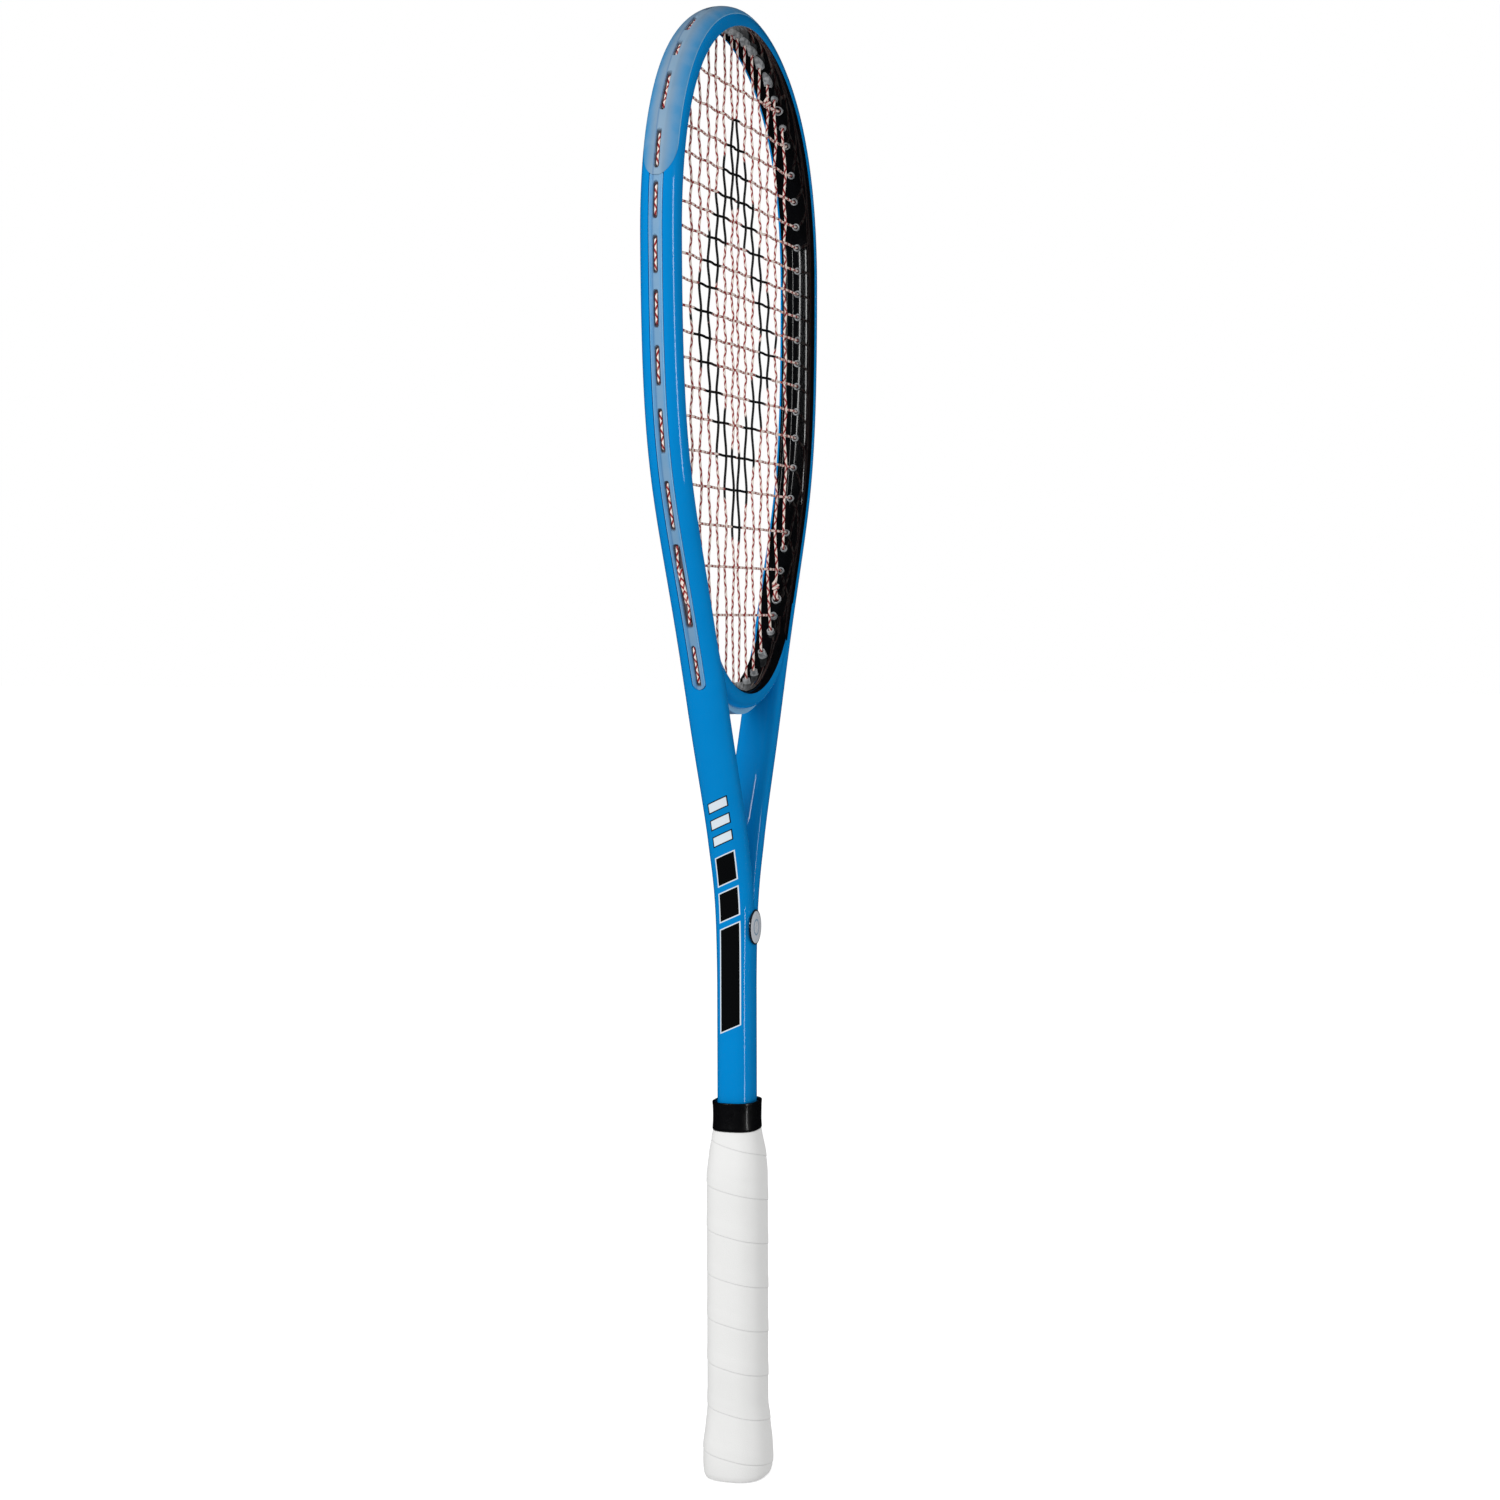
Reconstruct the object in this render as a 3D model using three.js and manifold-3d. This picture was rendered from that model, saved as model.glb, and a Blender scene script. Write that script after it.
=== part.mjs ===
// A squash racket, as the separate pieces that it is built from.
// Millimetres. X runs across the head, the front of the string bed faces -Y, Z runs up the shaft.
// The origin is the centre of the butt's flat end.
import * as THREE from "three";
import { mergeVertices } from "three/addons/utils/BufferGeometryUtils.js";
import Module from "manifold-3d";

const wasm = await Module();
wasm.setup();

// Driving dimensions
const GAP = 0.3; // between neighbours
const SQUARENESS = 2.74; // 2 is an oval, larger is closer to a rectangle
const OUTER_SQUARENESS = 2.1; // of the frame tube's outer side
const INNER_SQUARENESS = 4; // and of its flatter inner side

// The frame tube's spine is the line of its greatest depth, front to back.
const HEAD_TOP = 678.9;
const HEAD_HALF_WIDTH = 97.9;
const HEAD_WIDEST_Z = 572;
const ARM = new THREE.Vector2(42.5, 369.7); // a point of the arm beside the bridge
const ARM_ANGLE = THREE.MathUtils.degToRad(22.3); // the arm's lean there
const SHAFT_TOP = 234.7; // the two arms have become one shaft
const SHAFT_TUBE_X = 3.6; // each arm's spine there
const HOOP_OUTSIDE = 8.6; // from the spine to the outer face
const HOOP_INSIDE = 1; // and to the inner face
const ARM_OUTSIDE = 6.6;
const ARM_INSIDE = 6.3;
const THROAT_Z = [375, 395]; // the inner face changes between these heights
const TUBE_HALF_DEPTH = 9.3;
const SHAFT_HALF_WIDTH = SHAFT_TUBE_X + ARM_OUTSIDE;
const SHAFT_HALF_DEPTH = 8.6;
const SHAFT_WALL = 1.6;
const SHAFT_BOTTOM = 3.6;
const SHAFT_BORE_TOP = 215;
const SHAFT_LAP = 3; // how far the shaft runs up into the two arms
const DEPTH_FULL_Z = 300; // the frame reaches its full depth here

const BRIDGE_RADIUS = 69; // of the bridge's centre line
const BRIDGE_CENTRE_Z = 437.3;
const BRIDGE_HALF_ANGLE = THREE.MathUtils.degToRad(66);
const BRIDGE_HALF_WIDTH = 5;
const BRIDGE_HALF_DEPTH = 8;

// Depths below the hoop's or the bridge's outer face
const GROOVE_FLOOR = 2.8;
const GROOVE_HALF_WIDTH = 3.3;
const STRIP_FLOOR = GROOVE_FLOOR - GAP;
const STRIP_TOP = 0.3;
const STRIP_HALF_WIDTH = GROOVE_HALF_WIDTH - GAP;
const CHANNEL_FLOOR = 2;
const STRING_RUN = 1.1; // the string's centre outside the hoop
const BUMPER_FLOOR = 2.2;
const CLEAR_OF_FACE = -4; // outside everything

// Lower ends: how low each comes, and how long its rounding is
const BUMPER_TIP_Z = 596;
const BUMPER_ROUNDING = 12;
const BUMPER_HALF_WIDTH = 7.5;
const STRIP_TIP_Z = 595.6;
const STRIP_END_Z = 373.5;
const STRIP_ROUNDING = 3;
const SLOT_HALF_WIDTH = 1.2;
const WIDE_SLOT_HALF_WIDTH = 2.4; // where two runs of string lie side by side
const SLOT_OVERRUN = 1.6;
const THROAT_OVERRUN = 3; // the throat strip's end, past its last hole

const BARREL_RADIUS = 1.75;
const BARREL_BORE = 1.05;
const TIE_OFF_RADIUS = 2.4; // a hole that two strings share
const TIE_OFF_BORE = 1.75;
// How far a barrel stands out of the inner face
const HOOP_PROUD = 1;
const TOP_PROUD = 2.5;
const BRIDGE_PROUD = 2.5;
const FLANK_PROUD = 4;
const BEND = 0.9; // from a barrel's mouth to where the string turns
const SEAT = 0.4; // from the string's run outside the hoop to the end of a barrel

const STRING_DIAMETER = 1.2;
const WEAVE = 0.75; // from the string bed's middle to a string's centre at a crossing
const SHARED = 0.75; // two strings in one hole, from its middle
const PASSING = 1.5; // a run of string beside another string's hole, from the middle
const MAINS = 14;
const CROSSES = 19;
// The mains' distances from the middle: across the bed, where they meet the head at the top, and
// where they leave it
const MAIN_X = [3.9, 14.6, 25.4, 36.8, 48.6, 60.6, 75.7];
const TOP_X = [3.9, 14.6, 25.4, 36.8, 48.6, 59.2, 71.5];
const TOP_OUTLET_X = [4.1, 15.2, 26.5, 38.7, 52.7, 63.3, 78.2];
const TOP_MAINS = 5; // on each side, the mains with prouder barrels at the top
const BRIDGE_MAINS = 3; // on each side, the mains that end on the bridge
const FLANK_OUTLET_Z = 376.8; // where the next main leaves through the arm beside the bridge
// The other mains' lower ends, inside the head and outside it
const MAIN_FOOT_Z = [399.5, 416, 441];
const FOOT_OUTLET_Z = [392.2, 412.6, 437.2];
// The crosses' heights, inside the head and outside it
const CROSS_Z = [
  652.1, 637.3, 624.3, 612.1, 600.3, 590.1, 578.9, 567.4, 556.2, 544.4, 533.1, 521.6, 509.1,
  495.9, 481.1, 465.7, 448.6, 429.8, 407.5,
];
const CROSS_OUTLET_Z = [
  657.4, 641.5, 626.8, 614.6, 601, 591.8, 579.4, 568.8, 555.8, 545.5, 532.8, 521.7, 508,
  494.9, 479.3, 464.2, 446, 427.1, 403.2,
];
const BED_EDGE = 2; // no crossing is nearer than this to where the string bends into the hoop
const KNOT_HALF_SIZE = [1.9, 1.9, 2.2];
const KNOT_SIDES = 10;
const TOP_KNOT_DROP = 8; // below the twelfth main's top bend
const TAIL_PASSES_MAIN = 0.55; // of the way from the top knot to the shared hole
const BOTTOM_KNOT_RISE = 5.5; // above the thirteenth main's bottom bend

const HANDLE_OVAL = 1.15; // width over depth of every handle section
const HANDLE_SIDES = 20;
// Outlines of the handle's pieces, from bottom to top: [half depth, height]
const GRIP_OUTSIDE = [
  [14.4, 0.6], [15.1, 3], [15.4, 8], [15.3, 14], [14.3, 25], [13.4, 36], [13.4, 143],
  [12.3, 155], [10.85, 163.5], [10.6, 165.2],
];
const GRIP_INSIDE = [
  [13.6, 0.6], [13.8, 6], [13.6, 14], [13, 26.3], [11.5, 29], [11.5, 140.3], [9.9, 152.4],
  [8.9, 155], [8.9, 165.2],
];
const PALLET_OUTSIDE = [[11.2, 3.6], [11.2, 140], [9.6, 152]];
const SHAFT_CLEARANCE = SHAFT_HALF_DEPTH + GAP;
const CAP_OUTSIDE = [[12.4, 0], [13.2, 0.8], [13.5, 6], [13.3, 14], [12.7, 26]];
const CAP_INSIDE = 11.5;
const CAP_BASE = 3;
const TAPE_OUTSIDE = [[9.25, 165.6], [9.25, 175]];
const TAPE_INSIDE = [[SHAFT_CLEARANCE, 175], [SHAFT_CLEARANCE, 165.6]];
const COLLAR_OUTSIDE = [[10.4, 165.5], [10.85, 166.1], [10.85, 178.4], [10.4, 179]];
const COLLAR_INSIDE = [[9.9, 165.5], [9.55, 166], [9.55, 178.5], [9.9, 179]];
const STAPLE_WIDTH = 9;
const STAPLE_WIRE = 1;
const STAPLE_OUT = 12.85; // from the middle of the handle to the staple's crown
const STAPLE_IN = 9.4; // and to its points
const STAPLE_Z = 19;
const BADGE_Z = 261;
const BADGE_RADIUS = 8.3;
const BADGE_BACK = 9.2;
const BADGE_THICKNESS = 0.6;
const BADGE_SIDES = 24;

// How finely the long sweeps are stepped, and how many sides they have
const FRAME_STEPS = 72;
const OUTER_SIDES = 8; // of half the frame's section
const INNER_SIDES = 5;
const BRIDGE_SIDES = 12;
const BRIDGE_STEPS = 14;
const BARREL_SIDES = 6;

// Sections and paths

// A point of an outline between an oval and a rectangle, by its angle.
function roundedPoint(halfX, halfY, angle, squareness = SQUARENESS) {
  const bow = (v) => Math.sign(v) * Math.abs(v) ** (2 / squareness);
  return new THREE.Vector2(halfX * bow(Math.cos(angle)), halfY * bow(Math.sin(angle)));
}

function roundedOutline(halfX, halfY, sides) {
  const points = [];
  for (let i = 0; i < sides; i++) {
    points.push(roundedPoint(halfX, halfY, (2 * Math.PI * i) / sides));
  }
  return points;
}

// Half such an outline, from the given angle through half a turn.
function halfOutline(start, sides, squareness) {
  const points = [];
  for (let i = 0; i <= sides; i++) {
    points.push(roundedPoint(1, 1, start + (Math.PI * i) / sides, squareness));
  }
  return points;
}

function rectangle(left, right, bottom, top) {
  const corners = [[left, bottom], [right, bottom], [right, top], [left, top]];
  return corners.map(([x, y]) => new THREE.Vector2(x, y));
}

// A path with one ring of the section at each of its points, and with mitred corners. The section's
// x points to the path's outer side, in the XZ plane, and its y points to the back.
class RingPath extends THREE.Curve {
  constructor(points, outwards = [], widths = [], depths = []) {
    super();
    Object.assign(this, { points, outwards, widths, depths });
  }

  getSpacedPoints() {
    return this.points;
  }

  computeFrenetFrames() {
    const back = new THREE.Vector3(0, 1, 0);
    const frames = { tangents: [], normals: [], binormals: [] };
    const last = this.points.length - 1;
    this.points.forEach((point, i) => {
      const before = point.clone().sub(this.points[Math.max(i - 1, 0)]).normalize();
      const after = this.points[Math.min(i + 1, last)].clone().sub(point).normalize();
      const tangent = before.clone().add(after).normalize();
      const mitre = Math.max(tangent.dot(before), tangent.dot(after));
      const across = this.outwards[i] ?? back.clone().cross(tangent).normalize().divideScalar(mitre);
      const binormal = this.outwards[i] ? back.clone() : tangent.clone().cross(across).normalize();
      frames.tangents.push(tangent);
      frames.normals.push(across.clone().multiplyScalar(this.widths[i] ?? 1));
      frames.binormals.push(binormal.multiplyScalar(this.depths[i] ?? 1));
    });
    return frames;
  }
}

function sweep(outline, path) {
  const steps = path.points.length - 1;
  return new THREE.ExtrudeGeometry(new THREE.Shape(outline), { steps, extrudePath: path });
}

// The frame's centre line from the shaft up the right arm, round the head and down the left arm.
function frameLine() {
  const flat = (x, z) => new THREE.Vector3(x, 0, z);
  const lean = new THREE.Vector2(Math.sin(ARM_ANGLE), Math.cos(ARM_ANGLE));
  // The lengths of the curves' handles
  const foot = 66;
  const arm = 102.8;
  const flank = 114.6;
  const shoulder = 93.1;
  const crown = 23.9;
  const right = [
    [
      [SHAFT_TUBE_X, SHAFT_TOP], [SHAFT_TUBE_X, SHAFT_TOP + foot],
      [ARM.x - lean.x * foot, ARM.y - lean.y * foot], [ARM.x, ARM.y],
    ],
    [
      [ARM.x, ARM.y], [ARM.x + lean.x * arm, ARM.y + lean.y * arm],
      [HEAD_HALF_WIDTH, HEAD_WIDEST_Z - flank], [HEAD_HALF_WIDTH, HEAD_WIDEST_Z],
    ],
    [
      [HEAD_HALF_WIDTH, HEAD_WIDEST_Z], [HEAD_HALF_WIDTH, HEAD_WIDEST_Z + shoulder],
      [crown, HEAD_TOP], [0, HEAD_TOP],
    ],
  ];
  const left = right.map((corners) => corners.map(([x, z]) => [-x, z]).reverse()).reverse();
  const line = new THREE.CurvePath();
  for (const corners of [...right, ...left]) {
    line.add(new THREE.CubicBezierCurve3(...corners.map(([x, z]) => flat(x, z))));
  }
  return line;
}

// The bridge's centre line, under the head from left to right, so that its outer side is below.
function bridgeLine() {
  const arc = new THREE.Curve();
  arc.getPoint = (t) => {
    const angle = BRIDGE_HALF_ANGLE * (2 * t - 1);
    const x = BRIDGE_RADIUS * Math.sin(angle);
    return new THREE.Vector3(x, 0, BRIDGE_CENTRE_Z - BRIDGE_RADIUS * Math.cos(angle));
  };
  return arc;
}

const FRAME_LINE = frameLine();
const BRIDGE_LINE = bridgeLine();

// The direction of a line's outer side at t, in the plane of the head.
function outwardOf(line, t) {
  const tangent = line.getTangent(t);
  return new THREE.Vector3(tangent.z, 0, -tangent.x);
}

function between(value, from, to, first, last) {
  return THREE.MathUtils.mapLinear(THREE.MathUtils.clamp(value, from, to), from, to, first, last);
}

// The frame's section at a height: from its spine to its outer and inner faces, and half its depth.
const outsideAt = (z) => between(z, ARM.y, HEAD_WIDEST_Z, ARM_OUTSIDE, HOOP_OUTSIDE);
const insideAt = (z) => between(z, THROAT_Z[0], THROAT_Z[1], ARM_INSIDE, HOOP_INSIDE);
const halfDepthAt = (z) => between(z, SHAFT_TOP, DEPTH_FULL_Z, SHAFT_HALF_DEPTH, TUBE_HALF_DEPTH);

// A point below the outer face of the frame or the bridge.
function below(line, t, depth) {
  const middle = line.getPoint(t);
  const outside = line === BRIDGE_LINE ? BRIDGE_HALF_WIDTH : outsideAt(middle.z);
  return middle.addScaledVector(outwardOf(line, t), outside - depth);
}

// A point inside the head, at a distance from the inner face of the frame or the bridge.
function within(line, t, distance) {
  const middle = line.getPoint(t);
  const inside = line === BRIDGE_LINE ? BRIDGE_HALF_WIDTH : insideAt(middle.z);
  return middle.addScaledVector(outwardOf(line, t), -inside - distance);
}

// Where a coordinate of a steadily running curve reaches a value.
function whereOn(curve, axis, value, from, to) {
  const rising = curve(to)[axis] > curve(from)[axis];
  for (let i = 0; i < 40; i++) {
    const middle = (from + to) / 2;
    if (curve(middle)[axis] < value === rising) from = middle;
    else to = middle;
  }
  return (from + to) / 2;
}

// The places on a stretch of a line where every sweep along that line has its rings.
function places(line, from, to) {
  const steps = line === BRIDGE_LINE ? BRIDGE_STEPS : FRAME_STEPS;
  const near = 0.15; // of a step, and no two rings are closer
  const found = [from];
  for (let i = 0; i <= steps; i++) {
    if (i > from * steps + near && i < to * steps - near) found.push(i / steps);
  }
  return [...found, to];
}

// A bar along a line's outer face, between two depths below it.
function bar(line, from, to, deep, shallow, halfWidth) {
  const outline = rectangle(-deep, -shallow, -halfWidth, halfWidth);
  const stops = places(line, from, to);
  const outwards = stops.map((t) => outwardOf(line, t));
  return solid(sweep(outline, new RingPath(stops.map((t) => below(line, t, 0)), outwards)));
}

// Solids

function solid(geometry) {
  const bare = geometry.index ? geometry.toNonIndexed() : geometry.clone();
  bare.deleteAttribute("normal");
  bare.deleteAttribute("uv");
  const merged = mergeVertices(bare, 1e-4);
  return new wasm.Manifold(
    new wasm.Mesh({
      numProp: 3,
      vertProperties: merged.attributes.position.array,
      triVerts: new Uint32Array(merged.index.array),
    }),
  );
}

function geometryOf(made) {
  const mesh = made.getMesh();
  const geometry = new THREE.BufferGeometry();
  geometry.setAttribute("position", new THREE.BufferAttribute(mesh.vertProperties, mesh.numProp));
  geometry.setIndex(new THREE.BufferAttribute(mesh.triVerts, 1));
  geometry.computeVertexNormals();
  return geometry;
}

function join(first, others) {
  return others.reduce((made, other) => made.add(other), first);
}

function cut(first, others) {
  return others.reduce((made, other) => made.subtract(other), first);
}

// A straight prism from one point to another, its section's flats front and back.
function rod(start, end, radius, sides) {
  const length = start.distanceTo(end);
  const prism = new THREE.CylinderGeometry(radius, radius, length, sides, 1);
  prism.rotateY(Math.PI / sides);
  const turn = new THREE.Quaternion();
  turn.setFromUnitVectors(new THREE.Vector3(0, 1, 0), end.clone().sub(start).normalize());
  prism.applyQuaternion(turn);
  const middle = start.clone().lerp(end, 0.5);
  prism.translate(middle.x, middle.y, middle.z);
  return solid(prism);
}

// A piece of the handle from its profile: [half depth, height], from the bottom of its outside to
// the top, and back down its inside.
function handlePiece(profile) {
  const points = profile.map(([r, z]) => new THREE.Vector2(r, z));
  if (points[0].x > 0) points.push(points[0].clone());
  const lathe = new THREE.LatheGeometry(points, HANDLE_SIDES);
  lathe.rotateX(Math.PI / 2);
  const place = lathe.attributes.position;
  for (let i = 0; i < place.count; i++) {
    const [x, y] = [place.getX(i), place.getY(i)];
    const radius = Math.hypot(x, y);
    const rounded = roundedPoint(radius * HANDLE_OVAL, radius, Math.atan2(y, x));
    place.setXY(i, rounded.x, rounded.y);
  }
  return solid(lathe);
}

function box(x, y, z) {
  const shape = new THREE.BoxGeometry(x[1] - x[0], y[1] - y[0], z[1] - z[0]);
  shape.translate((x[0] + x[1]) / 2, (y[0] + y[1]) / 2, (z[0] + z[1]) / 2);
  return solid(shape);
}

// Holes. Each has two places where the string turns, bend inside the head and turn in the outer
// groove, and the two ends of its barrel, mouth and seat, between them.

const LENGTHS = FRAME_LINE.getCurveLengths();
const LENGTH = LENGTHS[LENGTHS.length - 1];
const AT_ARM = LENGTHS[0] / LENGTH;
const AT_WIDEST = LENGTHS[1] / LENGTH;

function hole(along, bend, turn) {
  const outwards = turn.clone().sub(bend).normalize();
  const mouth = bend.clone().addScaledVector(outwards, BEND);
  return { along, bend, mouth, turn, seat: turn.clone().addScaledVector(outwards, -SEAT) };
}

// A hole on the right of the hoop, by one coordinate of its bend and of its turn.
function hoopHole(axis, bend, turn, from, to, proud = HOOP_PROUD) {
  const inner = (t) => within(FRAME_LINE, t, proud + BEND);
  const outer = (t) => below(FRAME_LINE, t, STRING_RUN);
  const along = whereOn(outer, axis, turn, from, to);
  return hole(along, inner(whereOn(inner, axis, bend, from, to)), outer(along));
}

function bridgeHole(x) {
  const inner = (t) => within(BRIDGE_LINE, t, BRIDGE_PROUD + BEND);
  const along = whereOn(inner, "x", x, 0.5, 1);
  return hole(along, inner(along), below(BRIDGE_LINE, along, STRING_RUN));
}

// The hole that starts on the bridge's inner face and leaves through the arm beside it.
function flankHole(x) {
  const inner = (t) => within(BRIDGE_LINE, t, FLANK_PROUD + BEND);
  const outer = (t) => below(FRAME_LINE, t, STRING_RUN);
  const along = whereOn(outer, "z", FLANK_OUTLET_Z, AT_ARM, AT_WIDEST);
  return hole(along, inner(whereOn(inner, "x", x, 0.5, 1)), outer(along));
}

function mirrored({ along, bend, mouth, turn, seat }) {
  const flip = (p) => new THREE.Vector3(-p.x, p.y, p.z);
  return { along: 1 - along, bend: flip(bend), mouth: flip(mouth), turn: flip(turn), seat: flip(seat) };
}

function mainFoot(k) {
  if (k < BRIDGE_MAINS) return bridgeHole(MAIN_X[k]);
  if (k === BRIDGE_MAINS) return flankHole(MAIN_X[k]);
  const next = k - BRIDGE_MAINS - 1;
  return hoopHole("z", MAIN_FOOT_Z[next], FOOT_OUTLET_Z[next], AT_ARM, AT_WIDEST);
}

// The ends of the mains, numbered from the left, and of the crosses, numbered from the top.
function drillHoles() {
  const holes = { top: [], bottom: [], left: [], right: [] };
  MAIN_X.forEach((_, k) => {
    const [right, left] = [MAINS / 2 + 1 + k, MAINS / 2 - k];
    const proud = k < TOP_MAINS ? TOP_PROUD : HOOP_PROUD;
    holes.top[right] = hoopHole("x", TOP_X[k], TOP_OUTLET_X[k], AT_WIDEST, 0.5, proud);
    holes.bottom[right] = mainFoot(k);
    holes.top[left] = mirrored(holes.top[right]);
    holes.bottom[left] = mirrored(holes.bottom[right]);
  });
  CROSS_Z.forEach((z, k) => {
    holes.right[k + 1] = hoopHole("z", z, CROSS_OUTLET_Z[k], AT_ARM, 0.5);
    holes.left[k + 1] = mirrored(holes.right[k + 1]);
  });
  return holes;
}

const HOLES = drillHoles();
const { top, bottom, left, right } = HOLES;
const TIE_OFF = [right[1], bottom[MAINS - 1]];
const BUMPER_CROSSES = 5; // on each side, the crosses that end in the bumper
const BUMPER_HOLES = [
  ...top.slice(1), ...left.slice(1, BUMPER_CROSSES + 1), ...right.slice(1, BUMPER_CROSSES + 1),
];
const SIDE_MAINS = MAINS / 2 - BRIDGE_MAINS; // on each side, the mains that end on the hoop
const LEFT_HOLES = [...left.slice(BUMPER_CROSSES + 1), ...bottom.slice(1, SIDE_MAINS + 1)];
const RIGHT_HOLES = [...right.slice(BUMPER_CROSSES + 1), ...bottom.slice(MAINS - SIDE_MAINS + 1)];
const THROAT_HOLES = bottom.slice(SIDE_MAINS + 1, MAINS - SIDE_MAINS + 1);

const HOOP_HOLES = [...BUMPER_HOLES, ...LEFT_HOLES, ...RIGHT_HOLES];

// Where each run of string lies outside the hoop: [from, to]
function outerRuns() {
  const runs = [[top[1], left[1]], [top[MAINS], right[1]], [right[CROSSES], bottom[MAINS - 1]]];
  for (let j = 2; j < MAINS; j += 2) runs.push([top[j], top[j + 1]]);
  for (let j = 1; j < MAINS; j += 2) runs.push([bottom[j], bottom[j + 1]]);
  for (let i = 1; i < CROSSES; i += 2) runs.push([right[i], right[i + 1]]);
  for (let i = 2; i < CROSSES; i += 2) runs.push([left[i], left[i + 1]]);
  return runs;
}

// Plastic barrels and the holes that they sit in

const HEXAGON = Math.cos(Math.PI / BARREL_SIDES); // a hexagon's flats over its corners
const isTieOff = (hole) => TIE_OFF.includes(hole);

// A rod along a hole, from before its mouth to past its seat.
function pastEnds(hole, distance, radius) {
  const outwards = hole.turn.clone().sub(hole.bend).setLength(distance);
  return rod(hole.mouth.clone().sub(outwards), hole.seat.clone().add(outwards), radius, BARREL_SIDES);
}

function barrelHole(hole) {
  return pastEnds(hole, 2 * BEND, (isTieOff(hole) ? TIE_OFF_RADIUS : BARREL_RADIUS) + GAP / HEXAGON);
}

function barrel(hole) {
  return rod(hole.mouth, hole.seat, isTieOff(hole) ? TIE_OFF_RADIUS : BARREL_RADIUS, BARREL_SIDES);
}

function barrelBore(hole) {
  return pastEnds(hole, BEND, isTieOff(hole) ? TIE_OFF_BORE : BARREL_BORE);
}

// The slot that a run of string lies in, wider where it passes another string's hole.
function slot(line, [first, last]) {
  const [from, to] = [first.along, last.along].sort((a, b) => a - b);
  const onHoop = line === FRAME_LINE;
  const passes = onHoop && HOOP_HOLES.some((hole) => hole.along > from && hole.along < to);
  const half = passes ? WIDE_SLOT_HALF_WIDTH : SLOT_HALF_WIDTH;
  const over = SLOT_OVERRUN / line.getLength();
  return bar(line, from - over, to + over, CHANNEL_FLOOR, CLEAR_OF_FACE, half);
}

// A strip with its barrels, its slots and its bores.
function withHoles(strip, line, holes) {
  const runs = outerRuns().filter(([first, last]) => holes.includes(first) || holes.includes(last));
  const slots = runs.map((run) => slot(line, run));
  return cut(join(strip, holes.map(barrel)), [...slots, ...holes.map(barrelBore)]);
}

// Pieces

// Half of the frame's tube, swept from the shaft round the head and back.
function tubeHalf(outline, widthAt, extra) {
  const path = new RingPath([], []);
  for (const t of places(FRAME_LINE, 0, 1)) {
    const middle = FRAME_LINE.getPoint(t);
    path.points.push(middle);
    path.outwards.push(outwardOf(FRAME_LINE, t));
    path.widths.push(widthAt(middle.z) + extra);
    path.depths.push(halfDepthAt(middle.z) + extra);
  }
  return solid(sweep(outline, path));
}

function tube(extra) {
  const outer = halfOutline(-Math.PI / 2, OUTER_SIDES, OUTER_SQUARENESS);
  const inner = halfOutline(Math.PI / 2, INNER_SIDES, INNER_SQUARENESS);
  return tubeHalf(outer, outsideAt, extra).add(tubeHalf(inner, insideAt, extra));
}

function shaftPrism(halfWidth, halfDepth, from, to) {
  const outline = new THREE.Shape(roundedOutline(halfWidth, halfDepth, HANDLE_SIDES));
  const prism = new THREE.ExtrudeGeometry(outline, { depth: to - from, bevelEnabled: false });
  prism.translate(0, 0, from);
  return solid(prism);
}

// All that is above a rounded lower end, as seen from the side.
function aboveEnd(tip, halfWidth, rounding, extra) {
  const outline = new THREE.Shape();
  const [wide, high] = [halfWidth + extra, rounding + extra];
  outline.moveTo(-wide, tip + rounding);
  outline.absellipse(0, tip + rounding, wide, high, Math.PI, 2 * Math.PI);
  outline.lineTo(wide, HEAD_TOP + 2 * HOOP_OUTSIDE);
  outline.lineTo(-wide, HEAD_TOP + 2 * HOOP_OUTSIDE);
  const span = 4 * HEAD_HALF_WIDTH;
  const wall = new THREE.ExtrudeGeometry(outline, { depth: span, bevelEnabled: false, curveSegments: 10 });
  wall.translate(0, 0, -span / 2);
  wall.rotateX(Math.PI / 2);
  wall.rotateZ(Math.PI / 2);
  return solid(wall);
}

const onFace = (t) => below(FRAME_LINE, t, 0);
const RIGHT_END = whereOn(onFace, "z", STRIP_END_Z, AT_ARM, AT_WIDEST) - 2 * GAP / LENGTH;
const STRIP_TIP = whereOn(onFace, "z", STRIP_TIP_Z, AT_WIDEST, 0.5);
const BUMPER_TIP = whereOn(onFace, "z", BUMPER_TIP_Z, AT_WIDEST, 0.5) - 2 * GAP / LENGTH;

const bumperEnd = (extra) => aboveEnd(BUMPER_TIP_Z, BUMPER_HALF_WIDTH, BUMPER_ROUNDING, extra);
const stripEnd = (extra) => aboveEnd(STRIP_END_Z, STRIP_HALF_WIDTH, STRIP_ROUNDING, extra);
const bumperBar = (deep) =>
  bar(FRAME_LINE, BUMPER_TIP, 1 - BUMPER_TIP, deep, CLEAR_OF_FACE, 2 * TUBE_HALF_DEPTH);

function frame() {
  const shaft = shaftPrism(SHAFT_HALF_WIDTH, SHAFT_HALF_DEPTH, SHAFT_BOTTOM, SHAFT_TOP + SHAFT_LAP);
  const [boreX, boreY] = [SHAFT_HALF_WIDTH - SHAFT_WALL, SHAFT_HALF_DEPTH - SHAFT_WALL];
  const groove = bar(
    FRAME_LINE, RIGHT_END, 1 - RIGHT_END, GROOVE_FLOOR, CLEAR_OF_FACE, GROOVE_HALF_WIDTH,
  );
  return cut(tube(0).add(shaft), [
    shaftPrism(boreX, boreY, SHAFT_BOTTOM - 1, SHAFT_BORE_TOP),
    groove.intersect(stripEnd(GAP)),
    bumperBar(BUMPER_FLOOR + GAP).intersect(bumperEnd(GAP)),
    ...HOOP_HOLES.map(barrelHole),
  ]);
}

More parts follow.
